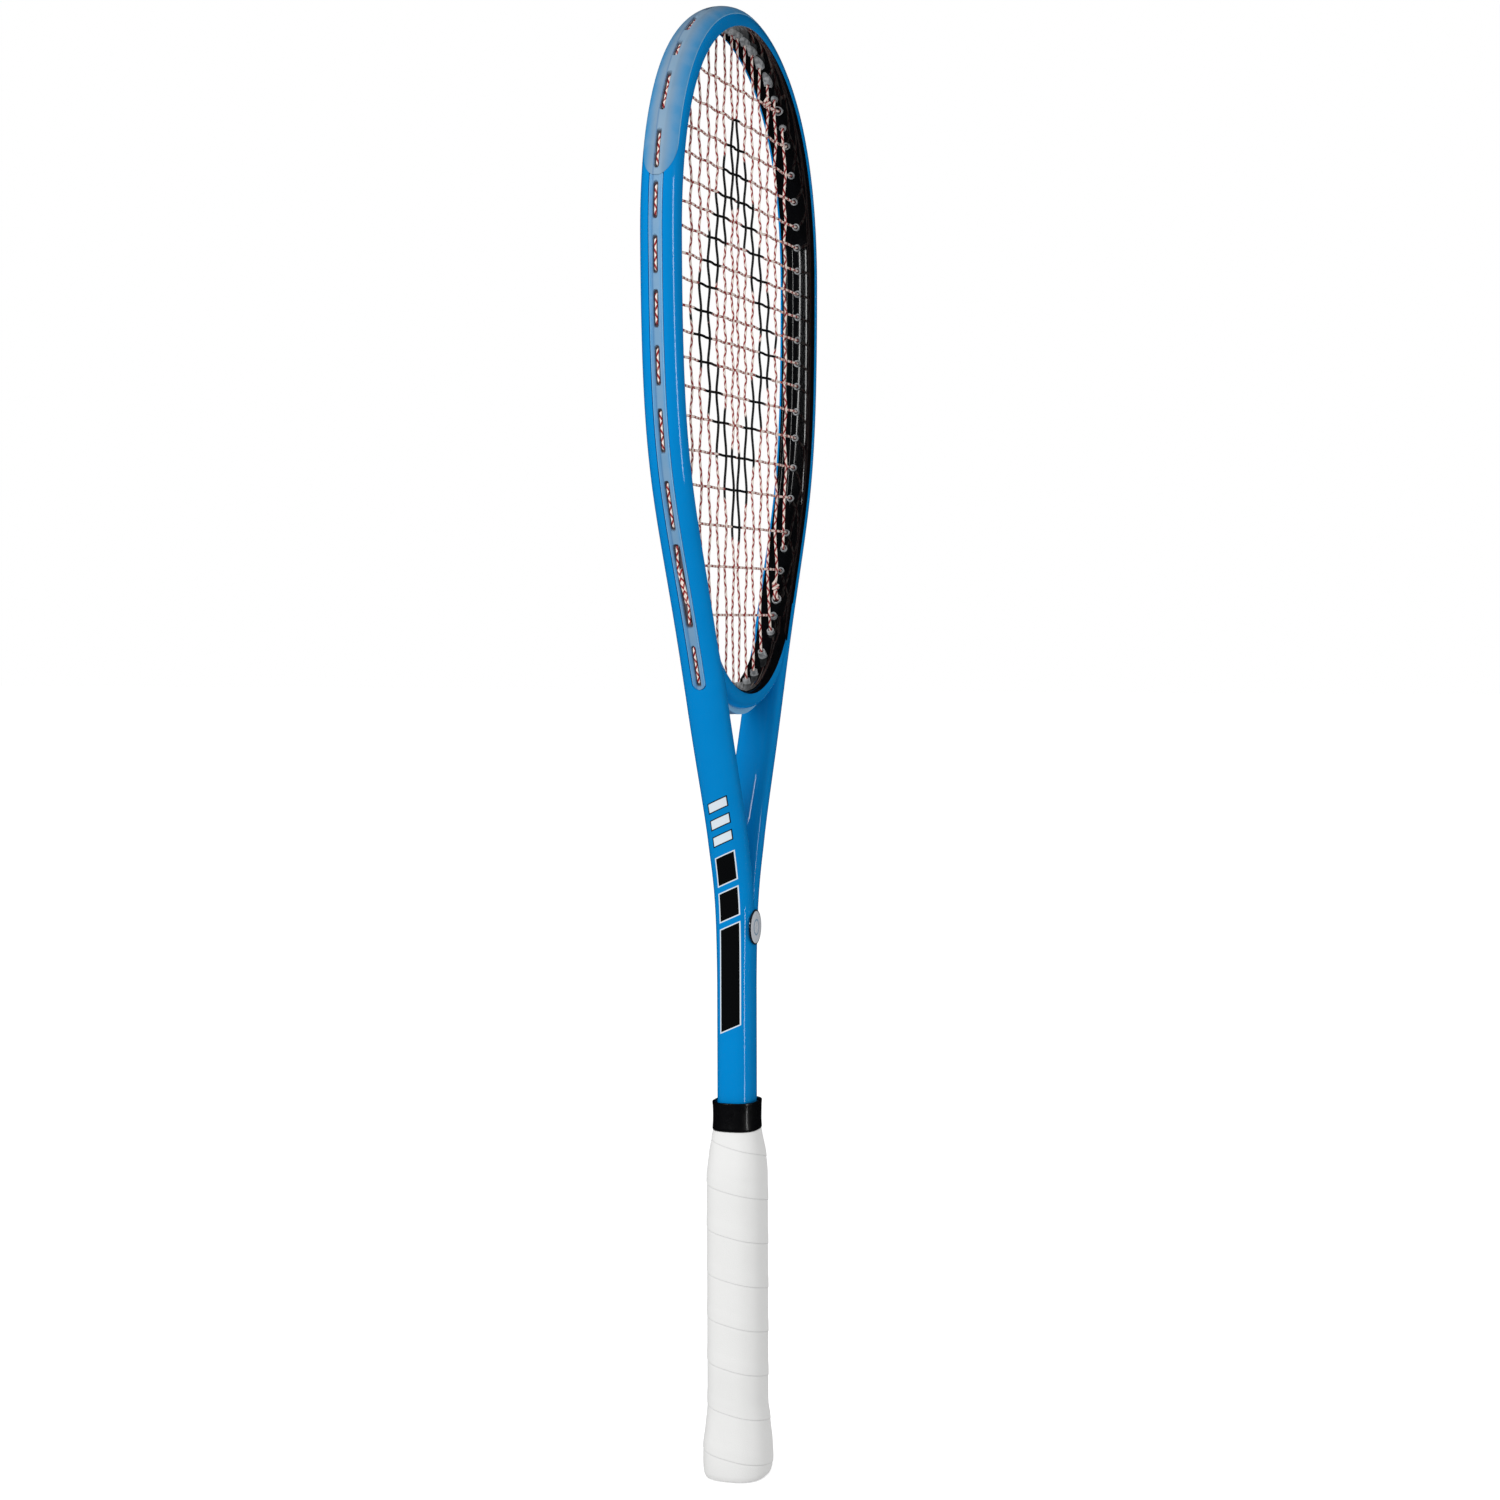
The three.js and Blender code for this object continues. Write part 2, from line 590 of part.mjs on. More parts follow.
const LAST_THROAT_HOLE = THROAT_HOLES[THROAT_HOLES.length - 1];
const THROAT_TIP = LAST_THROAT_HOLE.along + THROAT_OVERRUN / BRIDGE_LINE.getLength();

function throatBridge() {
  const stops = places(BRIDGE_LINE, 0, 1);
  const outwards = stops.map((t) => outwardOf(BRIDGE_LINE, t));
  const path = new RingPath(stops.map((t) => BRIDGE_LINE.getPoint(t)), outwards);
  const outline = roundedOutline(BRIDGE_HALF_WIDTH, BRIDGE_HALF_DEPTH, BRIDGE_SIDES);
  const end = THROAT_TIP + GAP / BRIDGE_LINE.getLength();
  const outside = bar(FRAME_LINE, 0, 1, ARM_OUTSIDE, -2 * ARM_OUTSIDE, 2 * TUBE_HALF_DEPTH);
  return cut(solid(sweep(outline, path)), [
    outside,
    tube(GAP),
    bar(BRIDGE_LINE, 1 - end, end, GROOVE_FLOOR, CLEAR_OF_FACE, GROOVE_HALF_WIDTH),
    ...[...bottom.slice(1), left[CROSSES], right[CROSSES]].map(barrelHole),
  ]);
}

function stripBar(line, from, to, top) {
  return bar(line, from, to, STRIP_FLOOR, top, STRIP_HALF_WIDTH);
}

function headBumper() {
  const cap = tube(0).intersect(bumperBar(BUMPER_FLOOR));
  const tongue = stripBar(FRAME_LINE, BUMPER_TIP, 1 - BUMPER_TIP, BUMPER_FLOOR / 2);
  return withHoles(cap.add(tongue).intersect(bumperEnd(0)), FRAME_LINE, BUMPER_HOLES);
}

function grommetStrip(line, from, to, holes) {
  const strip = stripBar(line, from, to, STRIP_TOP);
  return withHoles(line === FRAME_LINE ? strip.intersect(stripEnd(0)) : strip, line, holes);
}

// The string

const inTo = (hole, y = 0) => [hole.turn.clone().setY(y), hole.bend.clone().setY(y)];
const outOf = (hole, y = 0) => inTo(hole, y).reverse();

// Out of one hole and into the next, beside any string that leaves the hoop between them.
function around(first, last, beside, yOut = 0, yIn = 0) {
  const [from, to] = [first.along, last.along].sort((a, b) => a - b);
  const passed = HOOP_HOLES.filter((hole) => hole.along > from && hole.along < to);
  return [
    ...outOf(first, yOut),
    ...(HOOP_HOLES.includes(first) ? passed : []).map((hole) => hole.turn.clone().setY(beside)),
    ...inTo(last, yIn),
  ];
}

const mainX = (j) => (j > MAINS / 2 ? MAIN_X[j - MAINS / 2 - 1] : -MAIN_X[MAINS / 2 - j]);
const crossZ = (i) => CROSS_Z[i - 1];
const height = (i, j) => ((i + j) % 2 === 0 ? WEAVE : -WEAVE);

function crossing(i, j) {
  const [x, z] = [mainX(j), crossZ(i)];
  const inside = Math.abs(x) < right[i].bend.x - BED_EDGE && z < top[j].bend.z - BED_EDGE;
  return inside && z > bottom[j].bend.z + BED_EDGE;
}

function main(j) {
  const points = [];
  for (let i = 1; i <= CROSSES; i++) {
    if (crossing(i, j)) points.push(new THREE.Vector3(mainX(j), height(i, j), crossZ(i)));
  }
  return points;
}

function cross(i) {
  const points = [];
  for (let j = 1; j <= MAINS; j++) {
    if (crossing(i, j)) points.push(new THREE.Vector3(mainX(j), -height(i, j), crossZ(i)));
  }
  return points;
}

const topKnot = () => top[MAINS - 2].bend.clone().add(new THREE.Vector3(0, 0, -TOP_KNOT_DROP));
const bottomKnot = () => bottom[MAINS - 1].bend.clone().add(new THREE.Vector3(0, 0, BOTTOM_KNOT_RISE));

// One string: down the mains from the right, and across the crosses from the top left.
function stringRoute() {
  const pastMain = topKnot().lerp(right[1].bend, TAIL_PASSES_MAIN).setY(PASSING);
  const route = [topKnot(), pastMain, ...outOf(right[1], SHARED), ...inTo(top[MAINS])];
  for (let j = MAINS; j > 0; j -= 2) {
    const shared = j === MAINS ? SHARED : 0;
    route.push(...main(j), ...around(bottom[j], bottom[j - 1], PASSING, 0, shared));
    route.push(...main(j - 1).reverse());
    if (j > 2) route.push(...around(top[j - 1], top[j - 2], 0));
  }
  route.push(...around(top[1], left[1], 0));
  for (let i = 1; i < CROSSES; i += 2) {
    const shared = i === 1 ? -SHARED : 0;
    route.push(...cross(i), ...around(right[i], right[i + 1], -PASSING, shared));
    route.push(...cross(i + 1).reverse(), ...around(left[i + 1], left[i + 2], -PASSING));
  }
  route.push(...cross(CROSSES), ...around(right[CROSSES], bottom[MAINS - 1], 0, 0, -SHARED));
  route.push(bottomKnot());
  return route;
}

function knot(place) {
  const bead = new THREE.SphereGeometry(1, KNOT_SIDES, KNOT_SIDES / 2).scale(...KNOT_HALF_SIZE);
  return solid(bead.translate(place.x, place.y, place.z));
}

function string() {
  const half = (STRING_DIAMETER * Math.sqrt(Math.PI)) / 4; // a square of the round string's area
  const strand = solid(sweep(rectangle(-half, half, -half, half), new RingPath(stringRoute())));
  return join(strand, [knot(topKnot()), knot(bottomKnot())]);
}

// The handle

function handlePallet() {
  const [first, last] = [PALLET_OUTSIDE[0][1], PALLET_OUTSIDE[PALLET_OUTSIDE.length - 1][1]];
  const ring = handlePiece([...PALLET_OUTSIDE, [SHAFT_CLEARANCE, last], [SHAFT_CLEARANCE, first]]);
  return cut(ring, [staple(-1, GAP), staple(1, GAP)]);
}

function buttCap() {
  const rim = CAP_OUTSIDE[CAP_OUTSIDE.length - 1][1];
  const inside = [[CAP_INSIDE, rim], [CAP_INSIDE, CAP_BASE], [0, CAP_BASE]];
  const cup = handlePiece([[0, 0], ...CAP_OUTSIDE, ...inside]);
  return cut(cup, [staple(-1, GAP), staple(1, GAP)]);
}

// A staple lying across the butt cap's skirt, its legs pointing into the pallet.
function staple(facing, extra) {
  const wire = STAPLE_WIRE / 2 + extra;
  const z = [STAPLE_Z - wire, STAPLE_Z + wire];
  const y = (from, to) => [facing * from, facing * to].sort((a, b) => a - b);
  const open = extra > 0 ? STAPLE_WIRE : 0; // a pocket is open to the outside
  const out = STAPLE_OUT + open;
  const half = STAPLE_WIDTH / 2;
  const crown = box([-half - extra, half + extra], y(STAPLE_OUT - STAPLE_WIRE - extra, out), z);
  const legs = [-1, 1].map((at) => {
    const x = at * (half - STAPLE_WIRE / 2);
    return box([x - wire, x + wire], y(STAPLE_IN - extra, out), z);
  });
  return join(crown, legs);
}

function shaftBadge() {
  const disc = new THREE.CylinderGeometry(BADGE_RADIUS, BADGE_RADIUS, BADGE_THICKNESS, BADGE_SIDES);
  return solid(disc.translate(0, -BADGE_BACK - BADGE_THICKNESS / 2, BADGE_Z));
}

function piece(name, made, color, roughness, metalness = 0) {
  const material = new THREE.MeshStandardMaterial({ color, roughness, metalness });
  const mesh = new THREE.Mesh(geometryOf(made), material);
  mesh.name = name;
  return mesh;
}

const BLUE = "#0281c8";
const FROSTED = "#8fa9bd";
const CREAM = "#f3e4df";
const WHITE = "#efefef";
const BLACK = "#0c0c0d";

const racket = new THREE.Group();
racket.name = "squash_racket";

const headGroup = new THREE.Group();
headGroup.add(
  piece("frame", frame(), BLUE, 0.2),
  piece("throat_bridge", throatBridge(), BLUE, 0.2),
  piece("head_bumper", headBumper(), FROSTED, 0.5),
  piece(
    "right_grommet_strip",
    grommetStrip(FRAME_LINE, RIGHT_END, STRIP_TIP, RIGHT_HOLES),
    FROSTED, 0.5,
  ),
  piece(
    "left_grommet_strip",
    grommetStrip(FRAME_LINE, 1 - STRIP_TIP, 1 - RIGHT_END, LEFT_HOLES),
    FROSTED, 0.5,
  ),
  piece(
    "throat_grommet_strip",
    grommetStrip(BRIDGE_LINE, 1 - THROAT_TIP, THROAT_TIP, THROAT_HOLES),
    FROSTED, 0.5,
  ),
  piece("string", string(), CREAM, 0.5),
  piece("shaft_badge", shaftBadge(), "#d8dde2", 0.3),
);

const handleGroup = new THREE.Group();
handleGroup.add(
  piece("handle_pallet", handlePallet(), "#c9bfa8", 0.9),
  piece("butt_cap", buttCap(), BLACK, 0.6),
  piece("butt_cap_staple_front", staple(-1, 0), "#b8bcc0", 0.35, 1),
  piece("butt_cap_staple_back", staple(1, 0), "#b8bcc0", 0.35, 1),
  piece("grip", handlePiece([...GRIP_OUTSIDE, ...[...GRIP_INSIDE].reverse()]), WHITE, 0.7),
  piece("finishing_tape", handlePiece([...TAPE_OUTSIDE, ...TAPE_INSIDE]), BLACK, 0.7),
  piece("collar", handlePiece([...COLLAR_OUTSIDE, ...[...COLLAR_INSIDE].reverse()]), BLACK, 0.35),
);

racket.add(headGroup, handleGroup);

export default racket;
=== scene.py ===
"""The looks of a squash racket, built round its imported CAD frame.

Shapes are worked out in millimetres in the frame's own axes, X across the head, Y normal to the
string bed with the front at -Y, Z up the shaft, and become metres when a mesh is made.
"""

import math
from functools import reduce
from types import SimpleNamespace

import bmesh
import bpy
import numpy as np
from mathutils import Matrix, Vector


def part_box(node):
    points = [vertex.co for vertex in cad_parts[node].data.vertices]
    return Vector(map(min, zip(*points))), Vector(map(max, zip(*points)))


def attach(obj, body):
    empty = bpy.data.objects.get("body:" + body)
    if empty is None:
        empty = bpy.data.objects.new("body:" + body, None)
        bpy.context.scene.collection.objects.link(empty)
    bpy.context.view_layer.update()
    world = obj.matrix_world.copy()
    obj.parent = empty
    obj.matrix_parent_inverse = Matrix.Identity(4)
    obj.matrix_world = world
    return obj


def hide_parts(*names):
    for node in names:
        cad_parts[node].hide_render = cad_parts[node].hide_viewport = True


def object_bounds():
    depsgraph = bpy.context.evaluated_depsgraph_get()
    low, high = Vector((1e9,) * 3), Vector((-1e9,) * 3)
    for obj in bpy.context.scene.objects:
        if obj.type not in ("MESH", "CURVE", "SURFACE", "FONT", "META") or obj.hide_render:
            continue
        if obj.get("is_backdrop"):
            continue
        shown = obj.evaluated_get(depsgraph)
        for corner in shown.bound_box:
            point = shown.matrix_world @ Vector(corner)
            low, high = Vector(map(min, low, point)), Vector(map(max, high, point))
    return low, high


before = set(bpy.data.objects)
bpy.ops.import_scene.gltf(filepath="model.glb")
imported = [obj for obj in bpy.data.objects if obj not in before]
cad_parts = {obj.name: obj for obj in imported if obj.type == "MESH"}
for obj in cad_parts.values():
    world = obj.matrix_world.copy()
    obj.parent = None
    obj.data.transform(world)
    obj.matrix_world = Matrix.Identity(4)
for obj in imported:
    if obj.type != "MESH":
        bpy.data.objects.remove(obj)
cad_low, cad_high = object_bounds()

MM = 0.001
MERGE = 1e-3  # points closer than this are one

# --- Driving dimensions, the same as the CAD's

SQUARENESS = 2.74  # 2 is an oval, larger is closer to a rectangle
OUTER_SQUARENESS = 2.1
INNER_SQUARENESS = 4
HEAD_TOP = 678.9
HEAD_HALF_WIDTH = 97.9
HEAD_WIDEST_Z = 572
ARM_X, ARM_Z = 42.5, 369.7
ARM_ANGLE = math.radians(22.3)
SHAFT_TOP = 234.7
SHAFT_TUBE_X = 3.6
HOOP_OUTSIDE = 8.6
HOOP_INSIDE = 1
ARM_OUTSIDE = 6.6
ARM_INSIDE = 6.3
THROAT_Z = (375, 395)
TUBE_HALF_DEPTH = 9.3
SHAFT_HALF_WIDTH = SHAFT_TUBE_X + ARM_OUTSIDE
SHAFT_HALF_DEPTH = 8.6
SHAFT_BOTTOM = 3.6
DEPTH_FULL_Z = 300

BRIDGE_RADIUS = 69
BRIDGE_CENTRE_Z = 437.3
BRIDGE_HALF_ANGLE = math.radians(66)
BRIDGE_HALF_WIDTH = 5
BRIDGE_HALF_DEPTH = 8

GROOVE_FLOOR = 2.8
GROOVE_HALF_WIDTH = 3.3
STRIP_FLOOR = 2.5
STRIP_TOP = 0.3
STRIP_HALF_WIDTH = 3.1
CHANNEL_FLOOR = 2
STRING_RUN = 1.1

BUMPER_TIP_Z = 596
BUMPER_ROUNDING = 18
BUMPER_HALF_WIDTH = 8.5
STRIP_TIP_Z = 595.6
STRIP_END_Z = 373.5
SLOT_HALF_WIDTH = 1.0
WIDE_SLOT_HALF_WIDTH = 1.5
SLOT_OVERRUN = 1.6
THROAT_OVERRUN = 3

BARREL_RADIUS = 1.75
BARREL_BORE = 1.05
TIE_OFF_RADIUS = 2.4
TIE_OFF_BORE = 1.75
HOOP_PROUD = 1
TOP_PROUD = 2.5
BRIDGE_PROUD = 2.5
FLANK_PROUD = 4
BEND = 0.9

STRING_RADIUS = 0.6
MAIN_WEAVE = 0.45
CROSS_WEAVE = 0.66
SHARED = 0.75
PASSING = 1.0
MAINS = 14
CROSSES = 19
MAIN_X = [3.9, 14.6, 25.4, 36.8, 48.6, 60.6, 75.7]
TOP_X = [3.9, 14.6, 25.4, 36.8, 48.6, 59.2, 71.5]
TOP_OUTLET_X = [4.1, 15.2, 26.5, 38.7, 52.7, 63.3, 78.2]
TOP_MAINS = 5
BRIDGE_MAINS = 3
FLANK_OUTLET_Z = 376.8
MAIN_FOOT_Z = [399.5, 416, 441]
FOOT_OUTLET_Z = [392.2, 412.6, 437.2]
CROSS_Z = [
    652.1, 637.3, 624.3, 612.1, 600.3, 590.1, 578.9, 567.4, 556.2, 544.4, 533.1, 521.6, 509.1,
    495.9, 481.1, 465.7, 448.6, 429.8, 407.5,
]  # fmt: skip
CROSS_OUTLET_Z = [
    657.4, 641.5, 626.8, 614.6, 601, 591.8, 579.4, 568.8, 555.8, 545.5, 532.8, 521.7, 508,
    494.9, 479.3, 464.2, 446, 427.1, 403.2,
]  # fmt: skip
BED_EDGE = 2
TOP_KNOT_DROP = 8
TAIL_PASSES_MAIN = 0.55
BOTTOM_KNOT_RISE = 5.5
BUMPER_CROSSES = 5

HANDLE_OVAL = 1.15

# --- Lines and sections


class Line:
    """A curve in the plane of the head, by its share of the length."""

    def __init__(self, points):
        self.points = np.array(points, float)
        steps = np.linalg.norm(np.diff(self.points, axis=0), axis=1)
        self.length = steps.sum()
        self.at = np.concatenate([[0], np.cumsum(steps)]) / self.length
        tangents = np.gradient(self.points, self.at, axis=0)
        self.tangents = tangents / np.linalg.norm(tangents, axis=1)[:, None]

    def _read(self, table, t):
        return np.stack([np.interp(t, self.at, table[:, k]) for k in range(3)], axis=-1)

    def point(self, t):
        return self._read(self.points, t)

    def outward(self, t):
        tangent = self._read(self.tangents, t)
        tangent = tangent / np.linalg.norm(tangent, axis=-1)[..., None]
        return np.stack([tangent[..., 2], 0 * tangent[..., 0], -tangent[..., 0]], axis=-1)


def bezier(corners, count):
    u = np.linspace(0, 1, count)[:, None]
    a, b, c, d = (np.array([x, 0, z], float) for x, z in corners)
    return (1 - u) ** 3 * a + 3 * (1 - u) ** 2 * u * b + 3 * (1 - u) * u**2 * c + u**3 * d


def frame_line():
    """From the shaft up the right arm, round the head and down the left arm."""
    foot, arm, flank, shoulder, crown = 66, 102.8, 114.6, 93.1, 23.9
    lean_x, lean_z = math.sin(ARM_ANGLE), math.cos(ARM_ANGLE)
    right = [
        [(SHAFT_TUBE_X, SHAFT_TOP), (SHAFT_TUBE_X, SHAFT_TOP + foot),
         (ARM_X - lean_x * foot, ARM_Z - lean_z * foot), (ARM_X, ARM_Z)],
        [(ARM_X, ARM_Z), (ARM_X + lean_x * arm, ARM_Z + lean_z * arm),
         (HEAD_HALF_WIDTH, HEAD_WIDEST_Z - flank), (HEAD_HALF_WIDTH, HEAD_WIDEST_Z)],
        [(HEAD_HALF_WIDTH, HEAD_WIDEST_Z), (HEAD_HALF_WIDTH, HEAD_WIDEST_Z + shoulder),
         (crown, HEAD_TOP), (0, HEAD_TOP)],
    ]  # fmt: skip
    half = [bezier(corners, 1200) for corners in right]
    lengths = [np.linalg.norm(np.diff(p, axis=0), axis=1).sum() for p in half]
    rising = np.concatenate([half[0], half[1][1:], half[2][1:]])
    falling = rising[::-1][1:] * [-1, 1, 1]
    return Line(np.concatenate([rising, falling])), lengths


def bridge_line():
    angle = np.linspace(-BRIDGE_HALF_ANGLE, BRIDGE_HALF_ANGLE, 1200)
    x = BRIDGE_RADIUS * np.sin(angle)
    z = BRIDGE_CENTRE_Z - BRIDGE_RADIUS * np.cos(angle)
    return Line(np.stack([x, 0 * x, z], axis=-1))


FRAME_LINE, _lengths = frame_line()
BRIDGE_LINE = bridge_line()
AT_ARM = _lengths[0] / FRAME_LINE.length
AT_WIDEST = (_lengths[0] + _lengths[1]) / FRAME_LINE.length


def outside_at(z):
    return np.interp(z, [ARM_Z, HEAD_WIDEST_Z], [ARM_OUTSIDE, HOOP_OUTSIDE])


def inside_at(z):
    return np.interp(z, THROAT_Z, [ARM_INSIDE, HOOP_INSIDE])


def half_depth_at(z):
    return np.interp(z, [SHAFT_TOP, DEPTH_FULL_Z], [SHAFT_HALF_DEPTH, TUBE_HALF_DEPTH])


def below(line, t, depth):
    middle = line.point(t)
    outside = BRIDGE_HALF_WIDTH if line is BRIDGE_LINE else outside_at(middle[..., 2])
    return middle + line.outward(t) * np.asarray(outside - depth)[..., None]


def within(line, t, distance):
    middle = line.point(t)
    inside = BRIDGE_HALF_WIDTH if line is BRIDGE_LINE else inside_at(middle[..., 2])
    return middle - line.outward(t) * np.asarray(inside + distance)[..., None]


def where_on(curve, axis, value, low, high):
    """Where a coordinate of a steadily running curve reaches a value."""
    rising = curve(high)[axis] > curve(low)[axis]
    for _ in range(40):
        middle = (low + high) / 2
        if (curve(middle)[axis] < value) == rising:
            low = middle
        else:
            high = middle
    return (low + high) / 2


def smooth(value, low, high):
    u = np.clip((value - low) / (high - low), 0, 1)
    return u * u * (3 - 2 * u)


def power(value, exponent):
    return np.sign(value) * np.abs(value) ** exponent


# --- Holes and the string's route

X, Y, Z = 0, 1, 2


def hole(along, bend, turn):
    outwards = (turn - bend) / np.linalg.norm(turn - bend)
    return SimpleNamespace(along=along, bend=bend, turn=turn, mouth=bend + outwards * BEND)


def mouths(line, proud):
    """The curve that the bends in the string's holes lie on."""
    return lambda t: within(line, t, proud + BEND)


def outlets(t):
    return below(FRAME_LINE, t, STRING_RUN)


def hoop_hole(axis, bend, turn, low, high, proud=HOOP_PROUD):
    inner = mouths(FRAME_LINE, proud)
    along = where_on(outlets, axis, turn, low, high)
    return hole(along, inner(where_on(inner, axis, bend, low, high)), outlets(along))


def bridge_hole(x):
    inner = mouths(BRIDGE_LINE, BRIDGE_PROUD)
    along = where_on(inner, X, x, 0.5, 1)
    return hole(along, inner(along), below(BRIDGE_LINE, along, STRING_RUN))


def flank_hole(x):
    """The hole that starts on the bridge and leaves through the arm beside it."""
    inner = mouths(BRIDGE_LINE, FLANK_PROUD)
    along = where_on(outlets, Z, FLANK_OUTLET_Z, AT_ARM, AT_WIDEST)
    return hole(along, inner(where_on(inner, X, x, 0.5, 1)), outlets(along))


def mirrored(one):
    flip = np.array([-1, 1, 1])
    return SimpleNamespace(
        along=1 - one.along, bend=one.bend * flip, turn=one.turn * flip, mouth=one.mouth * flip
    )


def main_foot(k):
    if k < BRIDGE_MAINS:
        return bridge_hole(MAIN_X[k])
    if k == BRIDGE_MAINS:
        return flank_hole(MAIN_X[k])
    n = k - BRIDGE_MAINS - 1
    return hoop_hole(Z, MAIN_FOOT_Z[n], FOOT_OUTLET_Z[n], AT_ARM, AT_WIDEST)


top, bottom, left, right = {}, {}, {}, {}
for k in range(MAINS // 2):
    on_right, on_left = MAINS // 2 + 1 + k, MAINS // 2 - k
    proud = TOP_PROUD if k < TOP_MAINS else HOOP_PROUD
    top[on_right] = hoop_hole(X, TOP_X[k], TOP_OUTLET_X[k], AT_WIDEST, 0.5, proud)
    bottom[on_right] = main_foot(k)
    top[on_left] = mirrored(top[on_right])
    bottom[on_left] = mirrored(bottom[on_right])
for k in range(CROSSES):
    right[k + 1] = hoop_hole(Z, CROSS_Z[k], CROSS_OUTLET_Z[k], AT_ARM, 0.5)
    left[k + 1] = mirrored(right[k + 1])

SIDE_MAINS = MAINS // 2 - BRIDGE_MAINS
TIE_OFF = [right[1], bottom[MAINS - 1]]
BUMPER_HOLES = [*top.values()]
BUMPER_HOLES += [side[i] for side in (left, right) for i in range(1, BUMPER_CROSSES + 1)]
LEFT_HOLES = [left[i] for i in range(BUMPER_CROSSES + 1, CROSSES + 1)]
LEFT_HOLES += [bottom[j] for j in range(1, SIDE_MAINS + 1)]
RIGHT_HOLES = [right[i] for i in range(BUMPER_CROSSES + 1, CROSSES + 1)]
RIGHT_HOLES += [bottom[j] for j in range(MAINS - SIDE_MAINS + 1, MAINS + 1)]
THROAT_HOLES = [bottom[j] for j in range(SIDE_MAINS + 1, MAINS - SIDE_MAINS + 1)]
HOOP_HOLES = BUMPER_HOLES + LEFT_HOLES + RIGHT_HOLES


def is_in(one, holes):
    return any(one is other for other in holes)


def outer_runs():
    """Where each run of string lies outside the hoop."""
    runs = [(top[1], left[1]), (top[MAINS], right[1]), (right[CROSSES], bottom[MAINS - 1])]
    runs += [(top[j], top[j + 1]) for j in range(2, MAINS, 2)]
    runs += [(bottom[j], bottom[j + 1]) for j in range(1, MAINS, 2)]
    runs += [(right[i], right[i + 1]) for i in range(1, CROSSES, 2)]
    runs += [(left[i], left[i + 1]) for i in range(2, CROSSES, 2)]
    return runs


def at_y(point, y):
    return np.array([point[X], y, point[Z]])


def in_to(one, y=0):
    return [at_y(one.turn, y), at_y(one.bend, y)]


def out_of(one, y=0):
    return in_to(one, y)[::-1]


def around(first, last, beside, y_out=0, y_in=0):
    low, high = sorted([first.along, last.along])
    passed = [h for h in HOOP_HOLES if low < h.along < high] if is_in(first, HOOP_HOLES) else []
    passed.sort(key=lambda h: h.along, reverse=bool(first.along > last.along))
    return [*out_of(first, y_out), *[at_y(h.turn, beside) for h in passed], *in_to(last, y_in)]


def main_x(j):
    return MAIN_X[j - MAINS // 2 - 1] if j > MAINS / 2 else -MAIN_X[MAINS // 2 - j]


def crossing(i, j):
    x, z = main_x(j), CROSS_Z[i - 1]
    inside = abs(x) < right[i].bend[X] - BED_EDGE and z < top[j].bend[Z] - BED_EDGE
    return inside and z > bottom[j].bend[Z] + BED_EDGE


def over(i, j):
    return 1 if (i + j) % 2 == 0 else -1


def main(j):
    rows = [i for i in range(1, CROSSES + 1) if crossing(i, j)]
    return [np.array([main_x(j), MAIN_WEAVE * over(i, j), CROSS_Z[i - 1]]) for i in rows]


def cross(i):
    columns = [j for j in range(1, MAINS + 1) if crossing(i, j)]
    return [np.array([main_x(j), -CROSS_WEAVE * over(i, j), CROSS_Z[i - 1]]) for j in columns]


TOP_KNOT = top[MAINS - 2].bend + [0, 0, -TOP_KNOT_DROP]
BOTTOM_KNOT = bottom[MAINS - 1].bend + [0, 0, BOTTOM_KNOT_RISE]


def string_route():
    """One string: down the mains from the right, and across the crosses from the top left."""
    past_main = at_y(TOP_KNOT + TAIL_PASSES_MAIN * (right[1].bend - TOP_KNOT), PASSING)
    route = [TOP_KNOT, past_main, *out_of(right[1], SHARED), *in_to(top[MAINS])]
    for j in range(MAINS, 0, -2):
        shared = SHARED if j == MAINS else 0
        route += [*main(j), *around(bottom[j], bottom[j - 1], PASSING, 0, shared)]
        route += main(j - 1)[::-1]
        if j > 2:
            route += around(top[j - 1], top[j - 2], 0)
    route += around(top[1], left[1], 0)
    for i in range(1, CROSSES, 2):
        shared = -SHARED if i == 1 else 0
        route += [*cross(i), *around(right[i], right[i + 1], -PASSING, shared)]
        route += [*cross(i + 1)[::-1], *around(left[i + 1], left[i + 2], -PASSING)]
    route += [*cross(CROSSES), *around(right[CROSSES], bottom[MAINS - 1], 0, 0, -SHARED)]
    return route + [BOTTOM_KNOT]


# --- Meshes


